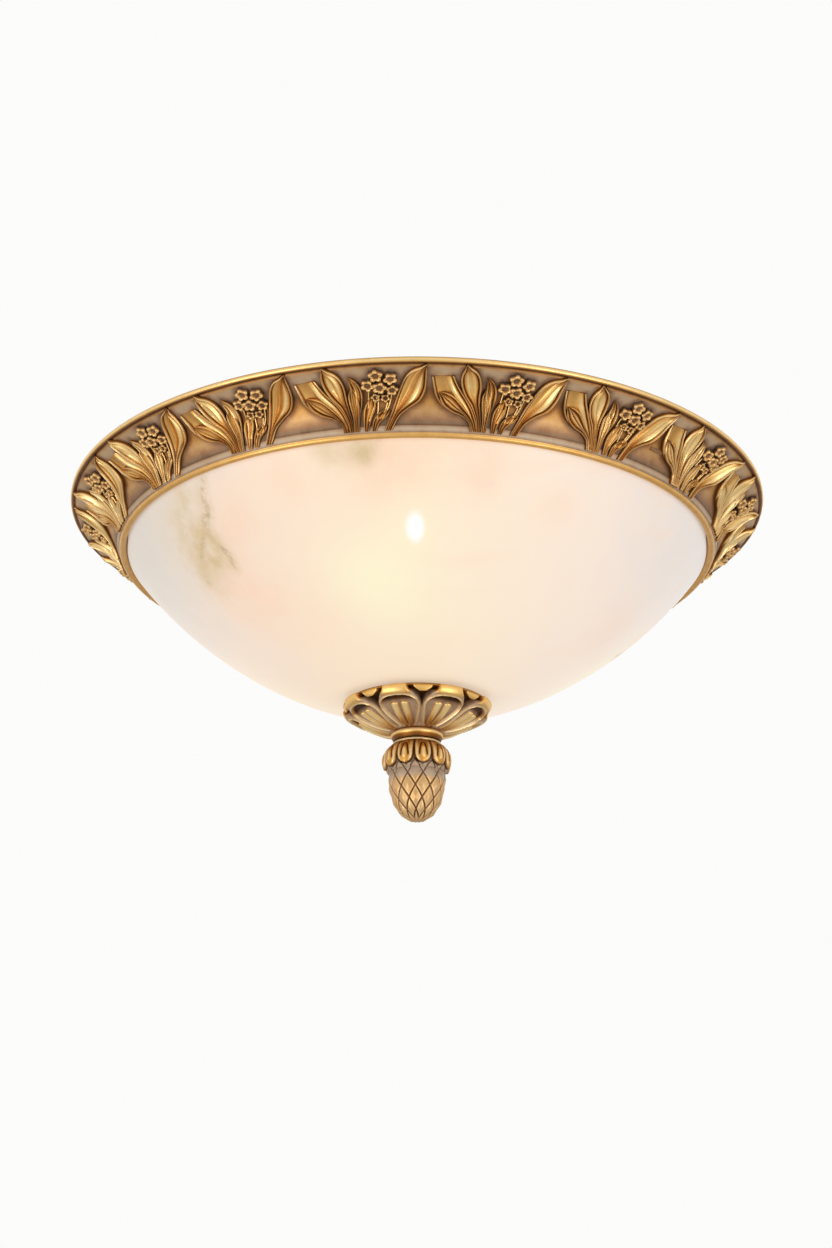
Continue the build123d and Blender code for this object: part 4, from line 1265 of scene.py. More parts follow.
@dataclass
class Rosette:
    """The dish under the bowl: eight petals with a rolled lip, two ribs each and small tongues between them."""

    petals: int = 8
    petal_azimuth: float = -107.7
    columns: int = 96
    rows: int = 104
    bore: float = 5.4
    seat: float = 20.0
    top: float = -149.1
    foot: float = -165.6
    face: tuple[Point, ...] = (
        (50.8, -145.25), (51.9, -146.2), (52.0, -148.0), (51.0, -150.5), (47.8, -153.0), (42.0, -156.0),
        (36.0, -159.2), (30.0, -161.8), (24.0, -163.7), (17.6, -164.9),
    )
    petal: tuple[Point, ...] = (
        (16.0, 5.0), (20.0, 6.3), (24.0, 7.9), (30.0, 10.4), (36.0, 12.9), (41.0, 14.5), (45.0, 14.0),
        (49.0, 12.0), (52.0, 9.8), (54.0, 9.0), (58.0, 8.6),
    )
    field_shape: tuple[Point, ...] = (
        (16.0, 3.9), (20.0, 5.1), (24.0, 6.7), (30.0, 9.2), (36.0, 11.7), (41.0, 13.2), (44.5, 12.7),
        (46.9, 10.4), (48.4, 6.4), (49.0, 0.0),
    )
    panel_depth: float = 1.5
    ridge_height: float = 1.1
    lip_height: float = 1.5
    lip_half: float = 13.0
    hollow_depth: float = 4.6
    tongue_height: float = 3.9
    seam_depth: float = 0.9
    rib_height: float = 2.1
    shadow_depth: float = 0.5

    def make(self, finish: Material) -> Piece:
        """Builds the rosette.

        Args:
            finish: The cast brass.

        Returns:
            The piece.
        """
        line = flowing(self.face, self.rows)
        out = normals_of(line)
        run = run_along(line)
        turned = line[:, 0] < 50.9
        first = int(np.argmax(turned & (line[:, 1] < -150)))
        reach = np.where(np.arange(self.rows) >= first, line[:, 0], line[first, 0] + run[first] - run)
        turns = self.petals * self.columns
        offset = (np.arange(self.columns) / self.columns - 0.5) * 2 * math.pi / self.petals
        aside = line[None, :, 0] * np.sin(offset)[:, None]
        reach = np.broadcast_to(reach, aside.shape)
        half = np.interp(reach, *zip(*self.petal))
        arch = flowing(self.field_shape, 220)
        inner = np.interp(reach, arch[:, 0], arch[:, 1], right=-1.0)
        spot = np.stack([reach, np.abs(aside)], -1)
        away = np.sqrt(((spot[..., None, :] - arch) ** 2).sum(-1)).min(-1)
        ridge_at = np.where(np.abs(aside) > inner, away, -away)
        inside = step_up(-ridge_at, -0.2, 0.8)
        ridge = falloff(ridge_at, 0.7) * step_up(reach, 17.5, 20)
        lip = step_up(reach, 48.6, 51.0) * (1 - step_up(reach, 54.8, 56.6)) * step_up(half - np.abs(aside), -0.4, 1.2)
        gap = step_up(np.abs(aside) - half, 0.0, 1.3)
        hollow = gap * step_up(reach, 37.0, 42.0) * (1 - step_up(reach, 54.2, 55.2))
        seam = gap * (1 - step_up(reach, 38.0, 42.0))
        between = line[None, :, 0] * np.sin(math.pi / self.petals - np.abs(offset))[:, None]
        tongue_half = 7.4 * np.sqrt(np.clip((reach - 49.4) / 4.5, 0, 1))
        tongue = step_up(tongue_half - between, -0.3, 0.9) * step_up(reach, 49.4, 50.4) * gap
        rib_place = np.interp(reach, (17, 24, 32, 42), (1.6, 2.4, 3.3, 3.7))
        rib_half = np.interp(reach, (17, 24, 36, 42), (1.4, 2.2, 2.9, 3.1))
        rib_share = np.clip(1 - ((np.abs(aside) - rib_place) / rib_half) ** 2, 0, 1)
        round_top = 40.2 + 2.6 * np.sqrt(rib_share)
        rib = np.sqrt(rib_share) * (1 - step_up(reach, round_top - 1.0, round_top))
        shadow = inside * step_up(reach, 40.5, 45.0)
        lip_curve = np.sqrt(np.clip(1 - (aside / self.lip_half) ** 2, 0, 1))
        height = (
            -self.panel_depth * inside + self.ridge_height * ridge + self.lip_height * lip * lip_curve
            - self.hollow_depth * hollow + self.tongue_height * tongue * hollow - self.seam_depth * seam
            + self.rib_height * rib * inside - self.shadow_depth * shadow
        )
        fade = step_up(line[:, 0], 17.0, 20.0)
        rib_tone = 0.15 + 0.5 * step_up(reach, 20, 34)
        tone = 0.4 - 0.1 * inside + 0.6 * ridge + rib * rib_tone + 0.32 * lip - 0.28 * shadow
        tone = tone * (1 - hollow) * (1 - 0.5 * seam) + 0.68 * tongue * hollow
        # Dark along the rim's top edge: a painted shadow against the bowl.
        tone = np.clip(tone, 0, 1) * (1 - step_up(reach, 55.8, 56.6))
        wash = 0.6 * inside * (1 - rib) * (1 - shadow) + 0.2 * ridge + 0.75 * (1 - inside) * (1 - ridge)
        wash = wash * (1 - hollow) * (1 - lip) * (1 - step_up(reach, 50.0, 52.0))
        shaped = line[None] + out[None] * (height * fade[None])[..., None]
        shaped = np.tile(shaped, (self.petals, 1, 1))
        upper = np.array([(self.bore, self.top), (self.seat, self.top), (44.0, -148.0), (49.2, -145.8)])
        lower = np.array([(17.0, self.foot), (self.bore, self.foot)])
        section = np.concatenate(
            [np.broadcast_to(upper, (turns, 4, 2)), shaped, np.broadcast_to(lower, (turns, 2, 2))], axis=1
        )
        spread = []
        for values, edge in ((tone, 0.35), (wash, 0.2)):
            rest = np.full((turns, 1), edge)
            spread.append(np.concatenate([rest] * 4 + [np.tile(values, (self.petals, 1))] + [rest] * 2, axis=1))
        start = math.radians(self.petal_azimuth) + offset[0]
        skin = lathe(section, turns, start, tone=spread[0], wash=spread[1])
        return show(skin, "cast_rosette", 60, finish, "rosette", "shade")


@dataclass
class Collar:
    """The loose ring between rosette and acorn: a bold roll with a painted highlight over a hollow neck darkened by
    painted shade.
    """

    bore: float = 5.4
    top: float = -165.9
    bottom: float = -172.5
    turns: int = 160

    def make(self, finish: Material) -> Piece:
        """Builds the collar.

        Args:
            finish: The cast brass.

        Returns:
            The piece.
        """
        # Radius, height, tone and wash: tone peaks on the roll's widest part, rubbed and with a painted highlight, and
        # falls to painted shade in the hollow neck.
        rows = [
            (self.bore, self.top, 0.3, 0.1), (15.0, self.top, 0.2, 0.2),
            (16.6, -166.0, 0.4, 0.4), (17.5, -166.3, 0.6, 0.4),
            (18.1, -166.9, 0.6, 0.3), (18.35, -167.7, 0.85, 0.3), (18.3, -168.5, 0.85, 0.2), (18.05, -169.2, 0.55, 0.0),
            (17.7, -169.8, 0.34, 0.0), (17.3, -170.4, 0.24, 0.0), (17.0, -171.0, 0.2, 0.0), (16.8, -171.6, 0.12, 0.0),
            (16.6, -172.1, 0.1, 0.0), (16.3, self.bottom, 0.05, 0.0), (self.bore, self.bottom, 0.2, 0.1),
        ]
        table = np.array(rows)
        skin = lathe(table[:, :2], self.turns, tone=table[:, 2], wash=table[:, 3])
        return show(skin, "turned_collar", 60, finish, "finial_collar", "collar")


@dataclass
class AcornFinial:
    """The acorn: a cup of eleven lobes over a grey fringe, and a nut with a diamond lattice."""

    cells: int = 11
    columns: int = 36
    groove_azimuth: float = -95.5
    lattice_azimuth: float = -93.5
    bore: float = 8.05
    bore_end: float = -189.8
    top: float = -172.8
    # The neck roll is palest at its widest, rubbed and with a painted highlight.
    neck: tuple[Row, ...] = (
        (15.9, -172.9, 0.1, 0.0), (16.5, -173.1, 0.6, 0.4), (16.9, -173.6, 0.85, 0.6), (16.9, -174.2, 0.85, 0.6),
        (16.5, -174.8, 0.6, 0.3), (16.0, -175.1, 0.1, 0.0), (15.8, -175.4, 0.0, 0.0),
    )
    cup: tuple[Point, ...] = (
        (16.2, -175.6), (18.9, -177.4), (21.1, -180.0), (22.5, -183.4), (23.0, -187.0), (22.7, -190.4),
        (21.7, -193.2), (20.4, -194.9),
    )
    nut: tuple[Point, ...] = (
        (19.4, -195.3), (19.6, -199.0), (19.3, -204.0), (18.4, -209.4), (16.8, -214.6), (15.0, -218.8),
        (12.6, -222.6), (9.4, -225.9), (5.4, -228.5), (0.0, -229.7),
    )
    lobe: tuple[Point, ...] = (
        (0.0, 4.4), (3.0, 5.2), (7.0, 5.8), (11.0, 6.0), (14.0, 5.9), (16.8, 5.2), (18.6, 3.8), (19.9, 1.6),
        (20.3, 0.3), (30.0, -12.0),
    )
    lattice_start: float = 12.6
    lattice_step: float = 17.6
    lobe_height: float = 1.25
    edge_depth: float = 1.5
    vee_depth: float = 1.0
    drop_height: float = 0.5
    fringe_depth: float = 0.4
    fringe_cut: float = 0.7
    scale_height: float = 0.85
    cut_depth: float = 0.85

    def cup_rows(self, aside_angle: np.ndarray) -> tuple[np.ndarray, np.ndarray, np.ndarray]:
        """The cup's section at each step, with tone and wash.

        Args:
            aside_angle: Angle of each column from its lobe's middle, in radians.

        Returns:
            Array (columns, rows, 2), tone and wash (columns, rows).
        """
        line = flowing(self.cup, 58)
        out = normals_of(line)
        run = run_along(line)
        aside = line[None, :, 0] * np.sin(aside_angle)[:, None]
        down = np.broadcast_to(run, aside.shape)
        half = np.interp(down, *zip(*self.lobe))
        share = np.clip(np.abs(aside) / np.maximum(half, 0.05), 0, 1)
        dome = np.sqrt(1 - share**2) * (half > 0.05)
        edge = falloff((np.abs(aside) - half) / np.sqrt(1 + (np.gradient(half, axis=1) / 0.42) ** 2) - 0.4, 0.75)
        legs = np.abs(aside) - 2.7 * np.sqrt(np.clip((down - 4.6) / 9.0, 0, 1))
        vee = falloff(legs, 0.62) * step_up(down, 3.8, 4.8) * (1 - step_up(down, 13.5, 16.0))
        drop = falloff(aside, 1.0) * step_up(down, 8.0, 10.5) * (1 - step_up(down, 15.0, 17.0))
        fringe = step_up(np.abs(aside) - half, 0.2, 1.2)
        low = step_up(down, 14.0, 17.0) * fringe
        turned = aside_angle + math.radians(self.groove_azimuth + 180 / self.cells - self.lattice_azimuth)
        p = (turned / (2 * math.pi) * self.cells)[:, None]
        q = (down - run[-1] - self.lattice_start) / self.lattice_step
        line_gap = np.minimum(np.abs((p + q + 0.5) % 1 - 0.5), np.abs((p - q + 0.5) % 1 - 0.5)) * 10.2
        cross = falloff(line_gap, 0.5) * low
        height = self.lobe_height * dome - self.edge_depth * edge - self.vee_depth * vee + self.drop_height * drop
        height = height - self.fringe_depth * low - self.fringe_cut * cross
        fade = step_up(down, 0.0, 1.2) * (1 - step_up(down, run[-1] - 0.8, run[-1]))
        rim = falloff(share - 0.76, 0.16) * step_up(down, 2.0, 5.0)
        tone = (0.4 + 0.1 * dome + 0.4 * drop + 0.45 * rim) * (1 - 0.95 * edge) * (1 - 0.9 * vee)
        tone = tone * (0.75 + 0.25 * step_up(down, 2.0, 12.0))
        tone = tone * (1 - low) + 0.3 * low * (1 - edge) * (1 - cross)
        wash = 0.8 * low * (1 - cross) * (1 - 0.7 * edge) + (0.45 * rim + 0.3 * drop) * (1 - low)
        return line[None] + out[None] * (height * fade)[..., None], np.clip(tone, 0, 1), wash

    def nut_rows(self, angle: np.ndarray) -> tuple[np.ndarray, np.ndarray, np.ndarray]:
        """The nut's section at each step, with tone and wash.

        Args:
            angle: Azimuth of each column, in radians.

        Returns:
            Array (columns, rows, 2), tone and wash (columns, rows).
        """
        line = flowing(self.nut, 76)
        line[-1] = self.nut[-1]
        out = normals_of(line)
        run = run_along(line)
        p = ((angle - math.radians(self.lattice_azimuth)) / (2 * math.pi) * self.cells)[:, None]
        q = ((run - self.lattice_start) / self.lattice_step)[None]
        a, b = (p + q) % 1, (p - q) % 1
        to_a, to_b = np.minimum(a, 1 - a), np.minimum(b, 1 - b)
        pitch = (2 * math.pi * line[:, 0] / self.cells)[None]
        steep = pitch * self.lattice_step / np.sqrt(pitch**2 + self.lattice_step**2 + 1e-9)
        cut = falloff(np.minimum(to_a, to_b) * steep, 0.42) * step_up(line[None, :, 0], 4.0, 8.0)
        pillow = 4 * to_a * to_b
        # A pale band beside each cut: a painted highlight along the diamonds' edges.
        shine = falloff(np.minimum(to_a, to_b) * steep - 1.1, 0.5) * step_up(line[None, :, 0], 4.0, 8.0)
        height = self.scale_height * pillow * np.minimum(1, line[None, :, 0] / 12) - self.cut_depth * cut
        fade = step_up(run, 0.0, 0.6)[None] * step_up(line[None, :, 0], 0.0, 2.0)
        tone = (0.46 + 0.2 * pillow + 0.26 * shine) * (1 - 0.95 * cut) * (0.45 + 0.55 * step_up(run, 2.0, 9.0))[None]
        wash = (0.8 * (1 - step_up(run, 2.0, 9.0)))[None] * (1 - cut) + 0.42 * (1 - cut)
        wash = np.minimum(wash, 0.85)
        return line[None] + out[None] * (height * fade)[..., None], np.clip(tone, 0, 1), wash

    def make(self, finish: Material) -> Piece:
        """Builds the acorn.

        Args:
            finish: The cast brass.

        Returns:
            The piece.
        """
        turns = self.cells * self.columns
        start = math.radians(self.groove_azimuth)
        angle = start + np.arange(turns) * 2 * math.pi / turns
        pitch = 2 * math.pi / self.cells
        parts = [self.cup_rows((angle - start) % pitch - pitch / 2), self.nut_rows(angle)]
        bore = ((0.0, self.bore_end), (self.bore, self.bore_end), (self.bore, self.top))
        head = np.array([*((*point, 0.2, 0.0) for point in bore), *self.neck])
        head = np.broadcast_to(head, (turns, *head.shape))
        section = np.concatenate([head[..., :2], parts[0][0], parts[1][0]], axis=1)
        tone = np.concatenate([head[..., 2], parts[0][1], parts[1][1]], axis=1)
        wash = np.concatenate([head[..., 3], parts[0][2], parts[1][2]], axis=1)
        skin = lathe(section, turns, start, tone=tone, wash=wash)
        return show(skin, "cast_acorn", 60, finish, "acorn_finial", "finial")


# ---------------------------------------------------------------- lamps, rod, screws and leads
@dataclass(frozen=True)
class Surface:
    """A finish of two colours mottled into each other, with its shine, its grain and its specks."""

    name: str
    base: Colour
    second: Colour
    rough: Point = (0.3, 0.45)
    metallic: float = 0.0
    cloud: float = 40.0
    grain: float = 900.0
    stretch: Triple = (1.0, 1.0, 1.0)
    relief: float = 0.00003
    specks: float = 0.0
    coat: float = 0.0
    sheen: float = 0.0
    light: float = 0.0

    def build(self) -> Material:
        """The material."""
        g = Graph(self.name)
        where = g.add("ShaderNodeMapping", {"Vector": g.place(), "Scale": self.stretch}).outputs[0]
        cloud = g.noise(self.cloud, 5.0, 0.6, where)
        grain = g.noise(self.grain, 4.0, 0.6, where)
        share = g.maths("ADD", g.span(cloud, 0.3, 0.7, (0.0, 0.75)), g.span(grain, 0.4, 0.8, (0.0, 0.5)))
        colour = g.blend(g.maths("MINIMUM", share, 1.0), self.base, self.second)
        dot = g.maths("MULTIPLY", g.span(g.noise(self.grain * 0.7, 1.0), 0.68, 0.74), self.specks)
        colour = g.blend(dot, colour, tuple(0.3 * value for value in self.second))
        rough = g.span(g.maths("ADD", cloud, g.maths("MULTIPLY", grain, 0.5)), 0.5, 1.0, self.rough)
        return g.finish(
            Base_Color=colour,
            Metallic=self.metallic,
            Roughness=rough,
            Normal=g.bump(grain, self.relief, 0.5),
            Coat_Weight=self.coat,
            Coat_Roughness=0.08,
            Sheen_Weight=self.sheen,
            Emission_Color=colour,
            Emission_Strength=self.light,
        )


class CadFinish(Enum):
    """The finish of each material slot whose parts keep their own shape."""

    WHITE_ENAMEL = Surface(
        "white_enamel", linear(234, 234, 230), linear(229, 229, 224), (0.16, 0.28), cloud=22.0, coat=0.4
    )
    PORCELAIN = Surface(
        "porcelain", linear(240, 236, 228), linear(226, 220, 208), (0.12, 0.24), cloud=70.0, specks=0.5, coat=0.6
    )
    OPAL_GLOBE = Surface(
        "opal_globe", linear(255, 246, 226), linear(248, 236, 214), (0.2, 0.3), cloud=30.0, specks=0.1, light=0.45
    )
    WHITE_PLASTIC = Surface("white_plastic", linear(234, 234, 231), linear(222, 222, 217), (0.3, 0.42), grain=1600.0)
    CLEAR_NYLON = Surface("clear_nylon", linear(218, 220, 214), linear(196, 199, 192), (0.32, 0.5), coat=0.2)
    RUBBER = Surface("rubber", linear(26, 26, 26), linear(46, 45, 43), (0.6, 0.8), relief=0.0001, specks=0.3)
    FELT = Surface(
        "felt", linear(78, 78, 80), linear(120, 118, 116), (0.9, 1.0),
        cloud=300.0, grain=2600.0, relief=0.0006, sheen=0.6,
    )
    LEAD_SHEATH = Surface("lead_sheath", linear(206, 200, 186), linear(186, 178, 162), (0.4, 0.55), cloud=160.0)
    PLAIN_BRASS = Surface(
        "plain_brass", linear(220, 178, 100), linear(176, 128, 60), (0.2, 0.4), 1.0, stretch=(1.0, 1.0, 7.0)
    )
    NICKEL = Surface("nickel", linear(202, 198, 190), linear(160, 154, 144), (0.18, 0.36), 1.0, cloud=90.0)
    ZINC_STEEL = Surface(
        "zinc_steel", linear(186, 190, 194), linear(150, 152, 150), (0.26, 0.48), 1.0, cloud=180.0, specks=0.25
    )


def welded(points: np.ndarray, faces: np.ndarray) -> Skin:
    """A skin whose equal points are one, without the faces that this empties.

    Args:
        points: Array (count, 3).
        faces: Array (count, 4) of point numbers.

    Returns:
        The skin.
    """
    _, first, place = np.unique(np.round(points, 4), axis=0, return_index=True, return_inverse=True)
    kept = []
    for face in place.reshape(-1)[faces].tolist():
        corners = tuple(dict.fromkeys(face))
        if len(corners) > 2:
            kept.append(corners)
    return Skin(points[first], kept, {})


def threaded(wave: tuple[Point, ...], pitch: float, ends: Point, bore: float = 0.0, steps: int = 36) -> Skin:
    """A right-hand thread about the Z axis, closed at both ends.

    Args:
        wave: One turn's section as (share of the pitch, radius), from the top down.
        pitch: The rise of one turn.
        ends: Lowest and highest z.
        bore: Radius of the bore, or 0.
        steps: How many steps a turn has.

    Returns:
        The skin.
    """
    low, high = ends
    turns = math.ceil((high - low) / pitch) + 3
    share = np.array([turn + place for turn in range(turns) for place, _ in wave])
    radius = np.tile([size for _, size in wave], turns)
    root = min(size for _, size in wave)
    angles = np.arange(steps) * 2 * math.pi / steps
    rise = pitch * np.arange(steps) / steps
    z = high + pitch - pitch * share[None] + rise[:, None]
    r = np.where((z > high) | (z < low), root, radius[None])
    edge = np.full((steps, 1), bore)
    r = np.concatenate([edge, r, edge], axis=1)
    z = np.concatenate([edge * 0 + high, np.clip(z, low, high), edge * 0 + low], axis=1)
    points = np.stack([r * np.cos(angles)[:, None], r * np.sin(angles)[:, None], z], -1)
    count = r.shape[1]
    here = np.arange(steps * count).reshape(steps, count)
    there = np.roll(here, -1, axis=0)
    shifted = np.arange(count)
    shifted[1:-1] = np.maximum(shifted[1:-1] - len(wave), 1)
    there[-1] = here[0][shifted]
    quads = np.stack([here, there, np.roll(there, -1, axis=1), np.roll(here, -1, axis=1)], -1)
    return welded(points.reshape(-1, 3), quads.reshape(-1, 4))


def laid(skin: Skin, azimuth: float, height: float) -> Skin:
    """A skin made about the Z axis, laid level so that its z runs outwards.

    Args:
        skin: The skin.
        azimuth: Where it points, in degrees.
        height: Its axis's height.

    Returns:
        The same skin, moved.
    """
    turn = math.radians(azimuth)
    x, y, z = skin.points.T
    points = [z * math.cos(turn) + y * math.sin(turn), z * math.sin(turn) - y * math.cos(turn), x + height]
    skin.points = np.stack(points, -1)
    return skin


@dataclass
class Lamp:
    """One lamp in its holder, with sizes measured along its axis from the light's middle."""

    number: int
    azimuth: float
    height: float = -48.0
    holder: Point = (22.0, 70.0)
    shoulder: float = 40.0
    well: Point = (37.0, 14.4)
    neck_radius: float = 16.0
    skirt_radius: float = 20.0
    cap: Point = (45.5, 71.5)
    cap_radius: float = 13.2
    tip: Point = (43.0, 4.5)
    thread_pitch: float = 3.6
    thread_depth: float = 0.75
    neck_end: float = 93.5
    housing: Point = (14.2, 19.0)
    globe_radius: float = 22.5
    globe_centre: float = 105.0

    def holder_skin(self) -> Skin:
        """The porcelain: a neck with two ribs, a rounded shoulder and a beaded skirt round the well."""
        (back, front), neck, skirt = self.holder, self.neck_radius, self.skirt_radius
        floor, well = self.well
        rows = [(0.0, floor), (well, floor), (well, front - 0.8), (well + 0.8, front)]
        rows += [(skirt - 1.2, front), *arc((skirt - 1.2, front - 1.2), 1.2, 80, 0, 5)]
        rows += [(skirt, front - 4.0), (skirt - 0.5, front - 4.5), (skirt - 0.5, front - 5.5), (skirt, front - 6.0)]
        rows += [(skirt, self.shoulder + 4.5), *arc((skirt - 1.5, self.shoulder + 4.5), 1.5, 0, -50, 5)]
        rows += [(neck + 1.0, self.shoulder + 1.2), (neck, self.shoulder - 0.4)]
        for place in (34.0, 28.0):
            rows += [(neck, place + 1.0), (neck - 0.6, place + 0.5), (neck - 0.6, place - 0.5), (neck, place - 1.0)]
        rows += [(neck, back + 1.0), (neck - 1.0, back), (0.0, back)]
        return lathe(np.array(rows), 96)

    def cap_skin(self) -> Skin:
        """The lamp's cap: a rolled thread over a coned end with a solder tip."""
        start, end = self.cap
        crest, root = self.cap_radius, self.cap_radius - self.thread_depth
        middle, half = (crest + root) / 2, (crest - root) / 2
        wave = tuple((step / 10, middle + half * math.cos(2 * math.pi * step / 10)) for step in range(10))
        thread = threaded(wave, self.thread_pitch, (start + 2.0, end), steps=60)
        low, tip = self.tip
        rows = [(0.0, start + 2.4), (root, start + 2.4), (root, start + 1.6), (10.2, start), (8.6, start - 0.2)]
        rows += [(tip + 1.2, start - 1.0), (tip, start - 1.2), (tip, low + 0.8), (tip - 0.8, low), (0.0, low)]
        return Skin.merged([thread, lathe(np.array(rows), 60)])

    def housing_skin(self) -> Skin:
        """The lamp's plastic neck: a smooth flare with a fine groove before the globe."""
        start, end = self.cap[1], self.neck_end
        low, high = self.housing
        rows = [(0.0, end), (high, end), (high, end - 1.4)]
        rows += [(high - 0.5, end - 1.7), (high - 0.5, end - 2.3), (high, end - 2.6)]
        for share in np.linspace(0.86, 0.04, 18):
            rows.append((low + (high - low) * share + 0.45 * math.sin(math.pi * share), start + (end - start) * share))
        rows += [(low, start + 0.3), (low - 0.4, start), (0.0, start)]
        return lathe(np.array(rows), 96)

    def globe_skin(self) -> Skin:
        """The opal globe."""
        drop = math.degrees(math.asin((self.neck_end - self.globe_centre) / self.globe_radius))
        rows = arc((0.0, self.globe_centre), self.globe_radius, 90, drop, 60)
        rows[0] = (0.0, self.globe_centre + self.globe_radius)
        return lathe(np.array([*rows, (0.0, self.neck_end)]), 96)

    def make(self, finishes: dict[str, Material]) -> list[Piece]:
        """Builds the lamp and its holder.

        Args:
            finishes: Materials by slot name.

        Returns:
            The pieces.
        """
        own = self.number
        jobs = (
            (self.holder_skin(), "porcelain_holder", 40, "porcelain", "lamp_holder", "root"),
            (self.cap_skin(), "threaded_cap", 50, "nickel", "bulb_cap", f"bulb_{own}"),
            (self.housing_skin(), "lamp_neck", 40, "white_plastic", "bulb_housing", f"bulb_{own}"),
            (self.globe_skin(), "lamp_globe", 60, "opal_globe", "bulb_diffuser", f"bulb_{own}"),
        )
        made = []
        for skin, name, sharp, finish, node, body in jobs:
            skin = laid(skin, self.azimuth, self.height)
            made.append(show(skin, f"{name}_{own}", sharp, finishes[finish], f"{node}_{own}", body))
        return made


@dataclass
class ThreadedRod:
    """The hollow centre rod with its fine thread."""

    radius: float = 5.0
    depth: float = 0.5
    pitch: float = 1.0
    bore: float = 2.4
    ends: Point = (-184.8, -2.6)

    def make(self, finish: Material) -> Piece:
        """Builds the rod.

        Args:
            finish: The zinc-plated steel.

        Returns:
            The piece.
        """
        crest, root = self.radius, self.radius - self.depth
        wave = ((0.0, crest), (0.12, crest), (0.5, root), (0.62, root))
        return show(threaded(wave, self.pitch, self.ends, self.bore), "threaded_rod", 80, finish, "centre_rod", "root")


@dataclass
class CrossScrews:
    """The four pan-head screws that hold the ring, each with a cross recess."""

    circle: float = 218.4
    head: Point = (3.5, 2.6)
    shank: float = 2.0
    seat: float = -8.0
    tip: float = -16.2
    crown: float = 0.9
    turns: int = 64
    rings: int = 22
    arm: Point = (0.5, 2.1)
    soft: Point = (0.15, 0.5)
    recess: float = 1.5
    count: int = 4

    def make(self, finish: Material, copies: PolarCopies) -> Piece:
        """Builds the screws.

        Args:
            finish: The zinc-plated steel.
            copies: The tree that repeats a piece about the axis.

        Returns:
            The piece.
        """
        reach, rise = self.head
        turns, top = self.turns, self.seat + rise
        radii = np.linspace(0, reach, self.rings)
        angles = np.arange(turns) * 2 * math.pi / turns
        x, y = radii[None] * np.cos(angles)[:, None], radii[None] * np.sin(angles)[:, None]
        dome = top - self.crown * (radii[None] / reach) ** 3
        (wide, long), (side, end) = self.arm, self.soft
        arms = [
            (1 - step_up(np.abs(a), wide - side, wide + side)) * (1 - step_up(np.abs(b), long - end, long))
            for a, b in ((x, y), (y, x))
        ]
        z = dome - self.recess * np.maximum(*arms)
        crown = np.stack([np.broadcast_to(radii, z.shape), z], -1)
        rest = np.array([
            (reach, self.seat + 0.2), (reach - 0.2, self.seat), (self.shank, self.seat), (self.shank, self.tip + 1),
            (self.shank - 1, self.tip), (0.0, self.tip),
        ])
        section = np.concatenate([crown, np.broadcast_to(rest, (turns, *rest.shape))], axis=1)
        skin = lathe(section, turns)
        skin.points[:, 0] += self.circle
        screw = skin.build("ring_cross_screws", 35)
        copies.spread(screw, self.count, finish, 180.0 / self.count)
        return hand_over(screw, "ring_screws", "root")


@dataclass
class HolderLeads:
    """The three leads from the holders to the terminal block, in metres."""

    diameter: float = 0.0032
    lengths: Triple = (0.1147, 0.0513, 0.0513)
    routes: tuple[tuple[Triple, ...], ...] = (
        (
            (0.007, -0.033, -0.032), (0.007, -0.033, -0.023), (0.0175, -0.026, -0.020), (0.0155, -0.008, -0.022),
            (0.008, 0.009, -0.021), (0.0005, 0.027, -0.020), (0.0, 0.048, -0.0162), (0.0, 0.066, -0.0162),
        ),
        (
            (0.030, 0.023, -0.030), (0.027, 0.031, -0.024), (0.018, 0.043, -0.019), (0.011, 0.053, -0.0162),
            (0.011, 0.066, -0.0162),
        ),
        (
            (-0.030, 0.023, -0.030), (-0.027, 0.031, -0.024), (-0.018, 0.043, -0.019), (-0.011, 0.053, -0.0162),
            (-0.011, 0.066, -0.0162),
        ),
    )

    def make(self, finish: Material) -> list[Piece]:
        """Lays the leads.

        Args:
            finish: The sheath.

        Returns:
            The three cords.
        """
        made = []
        for number, (route, length) in enumerate(zip(self.routes, self.lengths), 1):
            curve = bpy.data.curves.new(f"holder_lead_{number}", "CURVE")
            curve.dimensions = "3D"
            curve.bevel_depth = self.diameter / 2
            curve.bevel_resolution = 5
            curve.resolution_u = 12
            curve.use_fill_caps = True
            spline = curve.splines.new("NURBS")
            spline.points.add(len(route) - 1)
            for point, place in zip(spline.points, route):
                point.co = (*place, 1.0)
            spline.order_u = 3
            spline.use_endpoint_u = True
            curve.materials.append(finish)
            lead = bpy.data.objects.new(curve.name, curve)
            bpy.context.scene.collection.objects.link(lead)
            hand_over(lead, "holder_leads", "root")
            made.append(lead)
        return made


def dress_cad_parts(finishes: dict[str, Material]) -> None:
    """Gives each part that keeps its own shape the finish of its slot.

    Args:
        finishes: Materials by slot name.
    """
    for part in frame["record"]["subparts"]:
        node = frame["nodes"][part["node"]]
        if part["material_slot"] in finishes and not node.hide_render:
            node.data.materials.clear()
            node.data.materials.append(finishes[part["material_slot"]])
            LOG.info("%s: %s", part["node"], part["material_slot"])


# ---------------------------------------------------------------- studio
@dataclass(frozen=True)
class Softbox:
    """A rectangular studio lamp: its place, what it faces, its size and its power in watts."""

    name: str
    place: Triple
    size: Point
    power: float
    target: Triple = (0.0, 0.0, -0.09)


